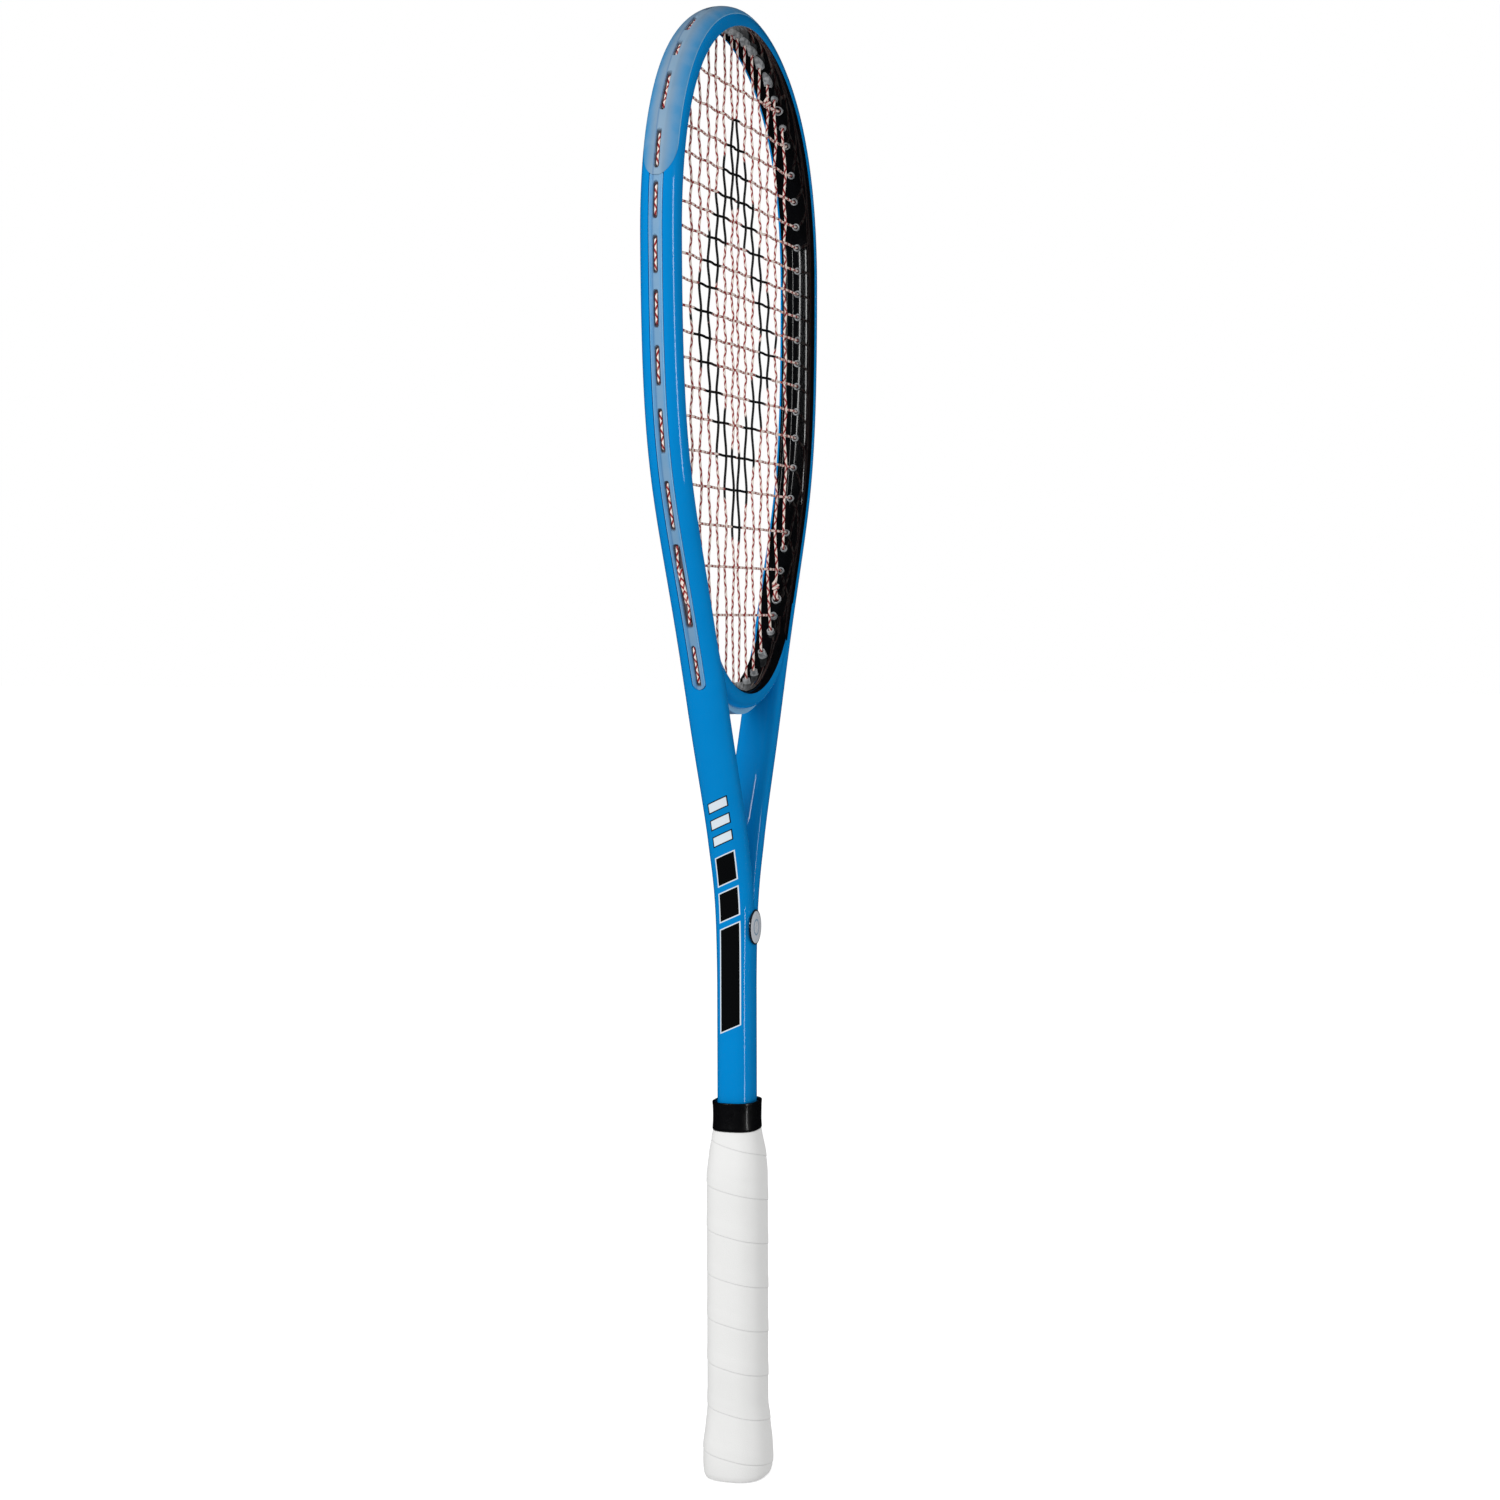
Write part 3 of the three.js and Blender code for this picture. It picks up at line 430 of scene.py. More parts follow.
class Shell:
    """Vertices and faces, in millimetres, gathered into one mesh."""

    def __init__(self):
        self.points, self.faces, self.paints, self.notes = [], [], [], []

    def face(self, corners, flip, paint=0):
        self.faces.append(corners[::-1] if flip else corners)
        self.paints.append(int(paint))

    def grid(self, points, closed=True, flip=False, paint=0, note=0, shift=0, buried=None):
        """Quads between rows of points. paint is a slot, or one for each point; note is a vector
        for each point; shift is how many rows on the last column meets the first; a face whose
        corners are all buried is left out."""
        points = np.asarray(points, float)
        rows, columns = points.shape[:2]
        start = len(self.points)
        self.points += points.reshape(-1, 3).tolist()
        self.notes += np.broadcast_to(note, points.shape).reshape(-1, 3).tolist()
        paints = np.broadcast_to(paint, (rows, columns))
        for i in range(rows - 1):
            for j in range(columns if closed else columns - 1):
                k, step = (j + 1, 0) if j + 1 < columns else (0, shift)
                if i + 1 + step >= rows:
                    continue
                if buried is not None and buried[i : i + 2, [j, k]].all():
                    continue
                a, b = start + i * columns + j, start + (i + step) * columns + k
                self.face([a, b, b + columns, a + columns], flip, paints[i, j])

    def cap(self, ring, flip=False):
        """A fan over a ring of points."""
        start, count = len(self.points), len(ring)
        self.points += [*ring.tolist(), ring.mean(0).tolist()]
        self.notes += [[0, 0, 0]] * (count + 1)
        for j in range(count):
            self.face([start + j, start + (j + 1) % count, start + count], flip)

    def tube(self, path, radius, sides):
        """A strand along a path. Its rings are carried on without twist, and its notes are the
        cosine and sine of the angle round it, and the distance along it."""
        path = np.array(path)
        tangents = np.gradient(path, axis=0)
        tangents /= np.linalg.norm(tangents, axis=1)[:, None]
        steps = np.linalg.norm(np.diff(path, axis=0), axis=1)
        along = np.concatenate([[0], np.cumsum(steps)])
        angle = np.linspace(0, 2 * np.pi, sides, endpoint=False)
        cosine, sine = np.cos(angle), np.sin(angle)
        across = np.eye(3)[X if abs(tangents[0][Y]) > 0.9 else Y]
        rings, notes = [], []
        for point, tangent, distance in zip(path, tangents, along):
            across = across - tangent * (across @ tangent)
            across /= np.linalg.norm(across)
            other = np.cross(tangent, across)
            rings.append(point + radius * (np.outer(cosine, across) + np.outer(sine, other)))
            notes.append(np.stack([cosine, sine, 0 * angle + distance], axis=-1))
        self.grid(rings, note=notes)
        self.cap(rings[0], flip=True)
        self.cap(rings[-1])

    def piece(self, name, materials, node, body="racket", sharp=50):
        """The mesh as a piece that stands for a CAD node and rides on its body."""
        mesh = bpy.data.meshes.new(name)
        mesh.from_pydata((np.array(self.points) * MM).tolist(), [], self.faces)
        note = mesh.attributes.new("note", "FLOAT_VECTOR", "POINT")
        note.data.foreach_set("vector", np.array(self.notes, np.float32).ravel())
        mesh.polygons.foreach_set("material_index", self.paints)
        for material in materials:
            mesh.materials.append(material)
        made = bmesh.new()
        made.from_mesh(mesh)
        bmesh.ops.remove_doubles(made, verts=made.verts, dist=MERGE * MM)
        bmesh.ops.dissolve_degenerate(made, edges=made.edges, dist=MERGE * MM)
        made.to_mesh(mesh)
        made.free()
        mesh.shade_smooth()
        mesh.set_sharp_from_angle(angle=math.radians(sharp))
        thing = bpy.data.objects.new(name, mesh)
        bpy.context.scene.collection.objects.link(thing)
        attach(thing, body)
        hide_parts(node)


# --- Materials

# Which of a noise's values a ramp runs between
USUAL = (0.3, 0.7)  # most of them
CLOUDED = (0.35, 0.65)  # for soft clouds
SPOTTED = (0.55, 0.8)  # for a few spots


class Paint:
    """A node material, built with a few short calls."""

    def __init__(self, name, **sockets):
        self.material = bpy.data.materials.new(name)
        self.material.use_nodes = True
        self.tree = self.material.node_tree
        self.shader = self.tree.nodes["Principled BSDF"]
        self.set(**sockets)
        place = self.node("ShaderNodeTexCoord").outputs["Object"]
        scaled = self.node("ShaderNodeVectorMath", place, {"Scale": 1 / MM}, operation="SCALE")
        self.where = scaled.outputs[0]  # in the frame's axes, in millimetres

    def node(self, kind, *values, **settings):
        """A node with its settings, its first inputs, and others by name in a dictionary."""
        made = self.tree.nodes.new(kind)
        for key, value in settings.items():
            setattr(made, key, value)
        for index, value in enumerate(values):
            named = value.items() if isinstance(value, dict) else [(index, value)]
            for key, what in named:
                self.feed(made.inputs[key], what)
        return made

    def feed(self, socket, value):
        if isinstance(value, bpy.types.NodeSocket):
            self.tree.links.new(value, socket)
        else:
            socket.default_value = value

    def set(self, **sockets):
        for socket, value in sockets.items():
            self.feed(self.shader.inputs[socket.replace("_", " ")], value)

    def math(self, operation, *values):
        return self.node("ShaderNodeMath", *values, operation=operation).outputs[0]

    def times(self, a, b):
        return self.math("MULTIPLY", a, b)

    def split(self, vector):
        return self.node("ShaderNodeSeparateXYZ", vector).outputs

    def note(self):
        note = self.node("ShaderNodeAttribute", attribute_name="note")
        return self.split(note.outputs["Vector"])

    def noise(self, scale, detail=2, roughness=0.5):
        inputs = {"Vector": self.where, "Scale": scale, "Detail": detail, "Roughness": roughness}
        return self.node("ShaderNodeTexNoise", inputs).outputs["Fac"]

    def cells(self, scale):
        inputs = {"Vector": self.where, "Scale": scale}
        return self.node("ShaderNodeTexVoronoi", inputs, feature="F1").outputs["Distance"]

    def ramp(self, value, low, high, start=0.0, end=1.0):
        inputs = {"Value": value, "From Min": low, "From Max": high, "To Min": start, "To Max": end}
        made = self.node("ShaderNodeMapRange", inputs, interpolation_type="SMOOTHSTEP")
        return made.outputs[0]

    def line(self, value, low, high, soft):
        """1 where the value is between two limits."""
        rising = self.ramp(value, low - soft, low + soft)
        return self.times(rising, self.ramp(value, high - soft, high + soft, 1.0, 0.0))

    def mix(self, share, first, second):
        made = self.node("ShaderNodeMix", data_type="RGBA")
        for name, what in (("Factor", share), ("A", first), ("B", second)):
            socket = next(s for s in made.inputs if s.name == name and s.enabled)
            self.feed(socket, (*what, 1) if isinstance(what, tuple) else what)
        return next(s for s in made.outputs if s.enabled)

    def tint(self, colour, share, strength, other):
        return self.mix(self.times(share, strength), colour, other)

    def rough(self, scale, detail, smoothest, roughest):
        noise = self.noise(scale, detail)
        self.set(Roughness=self.ramp(noise, *USUAL, smoothest, roughest))

    def bump(self, height, distance):
        inputs = {"Distance": distance * MM, "Strength": 1.0, "Height": height}
        self.set(Normal=self.node("ShaderNodeBump", inputs).outputs[0])


def linear(red, green, blue):
    """A colour on screen, 0 to 255, as the shader wants it."""
    screen = np.array([red, green, blue]) / 255
    return tuple(np.where(screen <= 0.04045, screen / 12.92, ((screen + 0.055) / 1.055) ** 2.4))


BLUE = linear(2, 130, 200)
DEEP_BLUE = linear(1, 116, 184)
BLACK = linear(9, 10, 11)
PALE = linear(214, 224, 232)
UNDER_COAT = 0.04  # the lacquers' own gloss: their clear coat does the shining

# Plain stripes down each side of the shaft: [lowest height, highest height, pale?]
STRIPES = [(214, 262, 0), (266, 279, 0), (283, 296, 0), (302, 306, 1), (310, 314, 1), (318, 322, 1)]
STRIPE_HALF_WIDTH = 4.6
STRIPE_SLANT = 0.45
STRIPE_EDGE = 0.55
STRIPE_SOFT = 0.12
# Each ink, bottom first: [how far it passes the stripe, on the pale ones?, colour]
STRIPE_INKS = [(STRIPE_EDGE, 0, PALE), (STRIPE_EDGE, 1, BLACK), (0.0, 0, BLACK), (0.0, 1, PALE)]


def lacquer():
    paint = Paint("blue_lacquer", Coat_Weight=0.85, Coat_Roughness=0.035, Coat_IOR=1.5)
    paint.set(Specular_IOR_Level=UNDER_COAT)
    _, y, z = paint.split(paint.where)
    slanted = paint.math("ADD", z, paint.times(y, STRIPE_SLANT))
    wide = paint.math("ABSOLUTE", y)
    outer = paint.note()[0]
    colour = paint.tint(BLUE, paint.noise(0.06, 3), 0.5, DEEP_BLUE)
    for grow, kind, ink in STRIPE_INKS:
        bars = [
            paint.line(slanted, low - grow, high + grow, STRIPE_SOFT)
            for low, high, pale in STRIPES
            if pale == kind
        ]
        bars = reduce(lambda a, b: paint.math("MAXIMUM", a, b), bars)
        edge = STRIPE_HALF_WIDTH + grow
        inside = paint.times(paint.ramp(wide, edge - 0.1, edge + 0.1, 1.0, 0.0), outer)
        colour = paint.mix(paint.times(bars, inside), colour, ink)
    paint.set(Base_Color=colour)
    paint.rough(0.4, 4, 0.17, 0.27)
    paint.bump(paint.noise(0.9, 3), 0.012)
    return paint.material


def frosted(name, thick, thin, reach, edge):
    """Clouded plastic over blue: greyer where it is thick, bluer towards its edges."""
    paint = Paint(name, Coat_Weight=0.12, Coat_Roughness=0.25)
    across, depth, _ = paint.note()
    off = paint.math("ABSOLUTE", across)
    colour = paint.mix(paint.ramp(off, 0.25 * reach, reach), linear(*thick), linear(*thin))
    for share, strength, seen in (
        (paint.ramp(paint.noise(0.12, 3), *CLOUDED), 0.14, (156, 170, 184)),
        # The groove under the plastic shows through as a lighter band, with a painted shadow down
        # one side of it.
        (paint.line(across, -2.3, 0.9, 0.5), 0.3, (136, 168, 192)),
        (paint.line(across, 1.1, 1.6, 0.25), 0.45, (40, 98, 152)),
        # A painted highlight along the rim
        (paint.line(off, edge - 0.42, edge + 1, 0.12), 0.5, (150, 206, 240)),
        # Painted shade in the slots, darkest where they are deepest
        (paint.ramp(depth, 0.1, 0.9), 1.0, (92, 82, 88)),
    ):
        colour = paint.tint(colour, share, strength, linear(*seen))
    paint.set(Base_Color=colour)
    paint.rough(0.8, 4, 0.34, 0.5)
    paint.bump(paint.noise(2.5, 3), 0.02)
    return paint.material


def barrel_plastic():
    paint = Paint("grommet_plastic", Coat_Weight=0.2, Coat_Roughness=0.2)
    cloud = paint.ramp(paint.noise(0.5, 3), *CLOUDED)
    paint.set(Base_Color=paint.mix(cloud, linear(116, 119, 122), linear(172, 175, 178)))
    paint.set(Roughness=paint.ramp(cloud, 0.0, 1.0, 0.32, 0.5))
    paint.bump(paint.noise(3.0, 3), 0.02)
    return paint.material


# The shape stencilled on the string bed, a plain hollow lozenge
STENCIL_Z = 540
STENCIL_HALF_WIDTH = 62
STENCIL_HALF_HEIGHT = 104
STENCIL_BAND = (0.6, 1.0)
BRAID_PITCH = 6.4
BRAID_THREAD = (0.6, 0.7)
BRAID_RIBS = 6


def strand():
    paint = Paint("braided_string", Roughness=0.42, Coat_Weight=0.25, Coat_Roughness=0.2)
    x, _, z = paint.split(paint.where)
    cosine, sine, along = paint.note()
    turn = paint.times(along, 2 * math.pi / BRAID_PITCH)
    a = paint.times(cosine, paint.math("COSINE", turn))
    b = paint.times(sine, paint.math("SINE", turn))
    threads = [paint.ramp(paint.math(way, a, b), *BRAID_THREAD) for way in ("ADD", "SUBTRACT")]
    wear = paint.noise(0.35, 3)
    red = paint.times(paint.math("MAXIMUM", *threads), paint.ramp(wear, 0.2, 0.5, 0.7, 1.0))
    cream = paint.mix(wear, linear(250, 236, 228), linear(236, 216, 204))
    wide = paint.math("DIVIDE", paint.math("ABSOLUTE", x), STENCIL_HALF_WIDTH)
    high = paint.math("ABSOLUTE", paint.math("SUBTRACT", z, STENCIL_Z))
    reach = paint.math("ADD", wide, paint.math("DIVIDE", high, STENCIL_HALF_HEIGHT))
    ink = paint.line(reach, *STENCIL_BAND, 0.008)
    colour = paint.mix(red, cream, linear(158, 30, 34))
    paint.set(Base_Color=paint.mix(ink, colour, linear(17, 17, 19)))
    ribs = paint.math("ABSOLUTE", paint.math("SINE", paint.times(turn, BRAID_RIBS)))
    paint.bump(paint.math("ADD", red, paint.times(ribs, 0.4)), 0.05)
    return paint.material


def grip_tape():
    paint = Paint("grip_tape", Sheen_Weight=0.25, Sheen_Roughness=0.5)
    cloud = paint.noise(0.045, 4)
    colour = paint.mix(cloud, linear(231, 231, 230), linear(221, 221, 220))
    phase = paint.note()[0]
    # Painted shade along each seam, where a turn's lower edge steps down onto the turn below
    seam_shade = [paint.line(phase, low, high, 0.006) for low, high in ((-1, 0.012), (0.986, 2))]
    colour = paint.tint(colour, paint.math("ADD", *seam_shade), 0.5, linear(176, 176, 176))
    handled = paint.ramp(paint.noise(0.25, 5, 0.6), *SPOTTED)
    paint.set(Base_Color=paint.tint(colour, handled, 0.06, linear(200, 198, 192)))
    paint.set(Roughness=paint.ramp(cloud, *USUAL, 0.55, 0.7))
    paint.bump(paint.math("ADD", paint.cells(1.6), paint.noise(3.2, 3)), 0.035)
    return paint.material


def rubber():
    paint = Paint("collar_rubber", Coat_Weight=0.4, Coat_Roughness=0.12)
    dust = paint.ramp(paint.noise(0.5, 5, 0.65), *SPOTTED)
    paint.set(Base_Color=paint.tint(linear(8, 8, 10), dust, 0.3, linear(44, 44, 47)))
    paint.rough(0.35, 4, 0.26, 0.44)
    paint.bump(paint.noise(0.8, 4), 0.06)
    return paint.material


BADGE_RING = (3.1, 3.9)
BADGE_RIM = (7.45, 7.65)


def badge_resin():
    paint = Paint("badge_resin", Coat_Weight=1.0, Coat_Roughness=0.03)
    distance = paint.note()[0]
    grey = paint.mix(paint.noise(0.3, 3), linear(222, 227, 234), linear(206, 212, 220))
    ring = paint.line(distance, *BADGE_RING, 0.12)
    colour = paint.tint(grey, ring, 0.8, linear(110, 150, 180))
    rim = paint.ramp(distance, *BADGE_RIM)
    paint.set(Base_Color=paint.mix(rim, colour, linear(14, 18, 24)))
    paint.rough(0.8, 3, 0.18, 0.3)
    return paint.material


def plain(name, first, second, scale, rough, bump, fineness=(2, 4, 4, 3), **sockets):
    """A material of two close colours with a fine surface. The fineness is how many times finer
    the roughness and the bump are than the colour, and the detail of each."""
    paint = Paint(name, **sockets)
    rougher, rough_detail, bumpier, bump_detail = fineness
    paint.set(Base_Color=paint.mix(paint.noise(scale, 4), linear(*first), linear(*second)))
    paint.rough(scale * rougher, rough_detail, *rough)
    paint.bump(paint.noise(scale * bumpier, bump_detail), bump)
    return paint.material


# --- The frame

FLAT_REACH = 4.2  # the outer side's middle, whose columns keep their place as the depth changes
FLAT_STEP = 0.55
GROOVE_WALL = 0.12
SIDE_COLUMNS = 12
BRIDGE_INNER_COLUMNS = 26
FRAME_STEP, BRIDGE_STEP, SHAFT_STEP = 2.2, 1.2, 4.0  # from ring to ring
# The inner side's columns: even ones across its flat, and more round each corner
CORNER_COLUMNS = 12
CORNER_FROM = 0.77
FLAT_SHARES = np.arange(0, 7.4, 0.3) / TUBE_HALF_DEPTH
# Faint ridges along the inner face: how far back the valleys between them are
RIDGE_HEIGHT = 0.16
RIDGE_VALLEYS = [-8.6, -6.4, 0.0, 2.3, 5.7, 8.0]
BLACK_FROM_Z = 393.5
BLACK_WIDE_FROM_Z = 411
BLACK_SHARE, BLACK_WIDE_SHARE = 0.85, 0.93
BRIDGE_BLACK_HALF_DEPTH = 7.6


def inner_shares():
    corner = np.sqrt(np.sin(np.linspace(0, np.pi / 2, CORNER_COLUMNS + 1)))
    half = np.array(sorted(set(FLAT_SHARES) | set(corner[corner > CORNER_FROM])))
    return np.concatenate([half[::-1], -half[1:]])


def ridges(y):
    at = np.linspace(RIDGE_VALLEYS[0], RIDGE_VALLEYS[-1], 84)
    turns = np.interp(at, RIDGE_VALLEYS, np.arange(len(RIDGE_VALLEYS)))
    return np.interp(y, at, RIDGE_HEIGHT * (0.5 - 0.5 * np.cos(np.pi * turns)))


def on_outline(half_width, half_depth, squareness, y):
    """A point of an oval's outer side by how far back it is, and its normal there."""
    share = np.clip(np.abs(y) / half_depth, 0, 1)
    x = half_width * (1 - share**squareness) ** (1 / squareness)
    nx = (np.maximum(x, 1e-6) / half_width) ** (squareness - 1) / half_width
    ny = np.sign(y) * share ** (squareness - 1) / half_depth
    size = np.hypot(nx, ny)
    return x, nx / size, ny / size


def middle_columns(wall, reach, step):
    """Places across a strip, close together at each wall."""
    found = set(np.round(np.arange(0, reach + 1e-6, step), 3)) | {reach}
    found |= {round(wall - GROOVE_WALL / 2, 3), round(wall + GROOVE_WALL / 2, 3)}
    half = np.array(sorted(v for v in found if v <= reach))
    return np.concatenate([-half[:0:-1], half])


def groove_share(distance, y, half_width):
    """1 inside a long pocket with a round end, by the distance from its end."""
    inside = half_width - np.hypot(np.minimum(distance - half_width, 0), y)
    return np.clip(inside / GROOVE_WALL + 0.5, 0, 1)


def at_height(z, low, high):
    """Where the frame's outside reaches a height."""
    return where_on(lambda t: below(FRAME_LINE, t, 0), Z, z, low, high)


RIGHT_END = at_height(STRIP_END_Z, AT_ARM, AT_WIDEST)
STRIP_TIP = at_height(STRIP_TIP_Z, AT_WIDEST, 0.5)
BUMPER_TIP = at_height(BUMPER_TIP_Z, AT_WIDEST, 0.5)
THROAT_TIP = THROAT_HOLES[-1].along + THROAT_OVERRUN / BRIDGE_LINE.length
FINE_STEP, FINE_REACH = 0.35, 5


def stops(line, low, high, step, fine):
    """Shares of a line at even distances, closer together round some places."""
    found = list(np.linspace(low, high, max(2, round((high - low) * line.length / step))))
    reach = FINE_REACH / line.length
    for at in fine:
        near = np.arange(at - reach, at + reach, FINE_STEP / line.length)
        found = [t for t in found if abs(t - at) > reach] + [t for t in near if low < t < high]
    return np.array(sorted(set(found) | {low, high}))


def outer_columns(half_depth, squareness=OUTER_SQUARENESS):
    """How far back each column of the outer side is, for each ring."""
    flat = middle_columns(GROOVE_HALF_WIDTH, FLAT_REACH, FLAT_STEP)
    start = np.arcsin((FLAT_REACH / half_depth) ** (squareness / 2))
    share = np.linspace(0, 1, SIDE_COLUMNS + 1)[1:]
    angle = start[:, None] + (np.pi / 2 - start[:, None]) * share
    side = half_depth[:, None] * power(np.sin(angle), 2 / squareness)
    side[:, -1] = half_depth
    middle = np.repeat(flat[None], len(half_depth), axis=0)
    return np.concatenate([-side[:, ::-1], middle, side], axis=1)


def outer_side(middle, outward, t):
    """The outer side of the tube: points, one row for each ring."""
    z = middle[:, Z]
    half_depth, outside = half_depth_at(z), outside_at(z)
    y = outer_columns(half_depth)
    split = smooth(z, SHAFT_TOP, DEPTH_FULL_Z)[:, None]
    arm, _, _ = on_outline(outside[:, None], half_depth[:, None], OUTER_SQUARENESS, y)
    shaft, _, _ = on_outline(SHAFT_HALF_WIDTH, half_depth[:, None], SQUARENESS, y)
    shaft -= middle[:, X : X + 1] * np.sign(outward[:, X : X + 1])
    distance = (np.minimum(t, 1 - t) - RIGHT_END) * FRAME_LINE.length
    x = split * arm + (1 - split) * shaft
    x = x - GROOVE_FLOOR * groove_share(distance[:, None], y, GROOVE_HALF_WIDTH)
    return middle[:, None] + outward[:, None] * x[..., None] + y[..., None] * np.array([0, 1, 0])


def frame_body(blue, black):
    shell = Shell()
    fine = RIGHT_END + 2 / FRAME_LINE.length
    t = stops(FRAME_LINE, 0, 1, FRAME_STEP, [fine, 1 - fine])
    middle, outward = FRAME_LINE.point(t), FRAME_LINE.outward(t)
    outer = outer_side(middle, outward, t)
    # The inner side runs on from the outer side's last column.
    share = inner_shares()
    depth = half_depth_at(middle[:, Z])[:, None] * share
    bulge = (1 - np.abs(share) ** INNER_SQUARENESS) ** (1 / INNER_SQUARENESS)
    recess = -ridges(depth) * smooth(middle[:, Z], *THROAT_Z)[:, None]
    inward = recess - inside_at(middle[:, Z])[:, None] * bulge
    slack = ((outer[:, -1] - middle) * outward).sum(1)[:, None] * share**2
    inner = middle[:, None] + outward[:, None] * (inward + slack)[..., None]
    inner[..., Y] = depth
    inner[:, 0], inner[:, -1] = outer[:, -1], outer[:, 0]
    # The arms meet in the racket's middle plane and don't pass through it.
    apart = inner[..., X] * np.where(t < 0.5, 1, -1)[:, None]
    joined = (middle[:, Z] < ARM_Z)[:, None] & (apart < 0)
    for step in (1, -1):
        before, depth_before = np.roll(apart, step, axis=1), np.roll(depth, step, axis=1)
        crossed = depth_before + (depth - depth_before) * before / (before - apart + 1e-9)
        inner[..., Y] = np.where(joined & (before >= 0), crossed, inner[..., Y])
    inner[..., X] = np.where(joined, 0, inner[..., X])
    ring = np.concatenate([outer, inner[:, 1:-1]], axis=1)
    outer_count = outer.shape[1]
    buried = np.zeros(ring.shape[:2], bool)
    buried[:, outer_count:] = joined[:, 1:-1]
    note = np.zeros_like(ring)
    note[:, :outer_count, X] = 1
    # Black inside the head, from corner to corner of the inner face
    reach = np.concatenate([np.full(outer_count, np.inf), np.abs(share[1:-1])])
    edge = np.where(middle[:, Z] > BLACK_WIDE_FROM_Z, BLACK_WIDE_SHARE, BLACK_SHARE)
    inside_head = middle[:, Z] > BLACK_FROM_Z
    paint = inside_head[:, None] & (reach[None] < edge[:, None])
    shell.grid(ring, paint=paint, note=note, flip=True, buried=buried)
    # The shaft, whose top ring is the arms' first and last rings
    z = np.append(np.arange(SHAFT_BOTTOM, SHAFT_TOP, SHAFT_STEP), SHAFT_TOP)
    halves = []
    for sign in (1, -1):
        line = np.stack([0 * z + sign * SHAFT_TUBE_X, 0 * z, z], axis=-1)
        halves.append(outer_side(line, np.repeat([[sign, 0.0, 0.0]], len(z), axis=0), 0 * z))
    whole = np.concatenate([halves[0], halves[1][:, ::-1][:, 1:-1]], axis=1)
    shell.grid(whole, note=1)
    shell.cap(whole[0], flip=True)
    shell.piece("frame_tube", [blue, black], "frame", sharp=35)


# How the bridge's outer half thins out inside the arms, and how its inner half runs on into
# theirs: [angle from the bottom], [share of its thickness]
BRIDGE_INSIDE_ARM = math.radians(62)
BRIDGE_THINNING = (np.radians([50, 56, 62]), [1, 0.35, 0.02])
BRIDGE_INNER_THINNING = (np.radians([48, 55, 62]), [1, 0.76, 0.88])


def throat_bridge(blue, black):
    """The bridge, with the groove for its strip on its lower, outer side."""
    shell = Shell()
    reach = (1 + BRIDGE_INSIDE_ARM / BRIDGE_HALF_ANGLE) / 2
    end = THROAT_TIP + 0.3 / BRIDGE_LINE.length
    t = stops(BRIDGE_LINE, 1 - reach, reach, BRIDGE_STEP, [1 - end, end])
    middle, outward = BRIDGE_LINE.point(t), BRIDGE_LINE.outward(t)
    turned = np.abs(2 * t - 1) * BRIDGE_HALF_ANGLE
    distance = (end - np.maximum(t, 1 - t)) * BRIDGE_LINE.length
    y = outer_columns(np.array([float(BRIDGE_HALF_DEPTH)]), SQUARENESS)[0]
    x, _, _ = on_outline(BRIDGE_HALF_WIDTH, BRIDGE_HALF_DEPTH, SQUARENESS, y)
    x = x[None] * np.interp(turned, *BRIDGE_THINNING)[:, None]
    x = x - GROOVE_FLOOR * groove_share(distance[:, None], y[None], GROOVE_HALF_WIDTH)
    angle = np.pi / 2 + np.pi * np.linspace(0, 1, BRIDGE_INNER_COLUMNS + 1)[1:-1]
    inward = BRIDGE_HALF_WIDTH * power(np.cos(angle), 2 / SQUARENESS)
    inward = inward[None] * np.interp(turned, *BRIDGE_INNER_THINNING)[:, None]
    inner_y = BRIDGE_HALF_DEPTH * power(np.sin(angle), 2 / SQUARENESS)
    out = np.concatenate([x, inward], axis=1)
    ring = middle[:, None] + outward[:, None] * out[..., None]
    ring[..., Y] = np.concatenate([y, inner_y])
    black_face = np.concatenate([0 * y, np.abs(inner_y) < BRIDGE_BLACK_HALF_DEPTH])
    shell.grid(ring, paint=black_face[None])
    shell.piece("throat_bridge_tube", [blue, black], "throat_bridge", sharp=35)


# --- The bumper, the strips and their grommets

STRIP_STEP = 0.45
STRIP_COLUMN_STEP = 0.3
STRIP_EDGE = 0.5  # how much the strips' and the bumper's edges are rounded
BUMPER_REACH = ([608, 687], [8.3, 8.1])  # how far it wraps to the front, by height
BUMPER_CORNER = 16  # how square its ends are, where its sides meet its rounded tip
BUMPER_COLUMNS = 75
BUMPER_CROWDING = 0.8 * np.pi / 2  # how much closer its columns are at its edges
BUMPER_RISE = 0.22  # above the lacquer
BUMPER_SINK = 0.05  # of its edge, into the lacquer
BUMPER_START = 0.02
PIT_DEPTH = 0.45
RIM = 0.22
LIP = 0.35
LEAF = 4.6
BARREL_SIDES = 24
THROAT_STRIP_PROUD = 2.6  # at its middle
THROAT_STRIP_SWELL = 0.7  # under 1, it swells early
UNDER_BUMPER = 3.5  # how far the side strips run on under it
STRIP_NARROWEST = 0.2  # at its very ends
BUMPER_LOWEST = 0.002  # of its rounded tip, at its very end


def runs_on(line, holes):
    """[from, to, half width] in millimetres along the line, of the slots that hold string."""
    found = []
    for first, last in outer_runs():
        if not (is_in(first, holes) or is_in(last, holes)):
            continue
        low, high = sorted([first.along, last.along])
        passes = line is FRAME_LINE and any(low < h.along < high for h in HOOP_HOLES)
        half = WIDE_SLOT_HALF_WIDTH if passes else SLOT_HALF_WIDTH
        found.append((low * line.length - SLOT_OVERRUN, high * line.length + SLOT_OVERRUN, half))
    return found


def slot_share(at, y, line, holes):
    """1 inside a slot."""
    deep = np.zeros(np.broadcast(at, y).shape)
    for low, high, half in runs_on(line, holes):
        inside = half - np.hypot(at - np.clip(at, low + half, high - half), y)
        deep = np.maximum(deep, np.clip(inside / RIM + 0.5, 0, 1))
    return deep


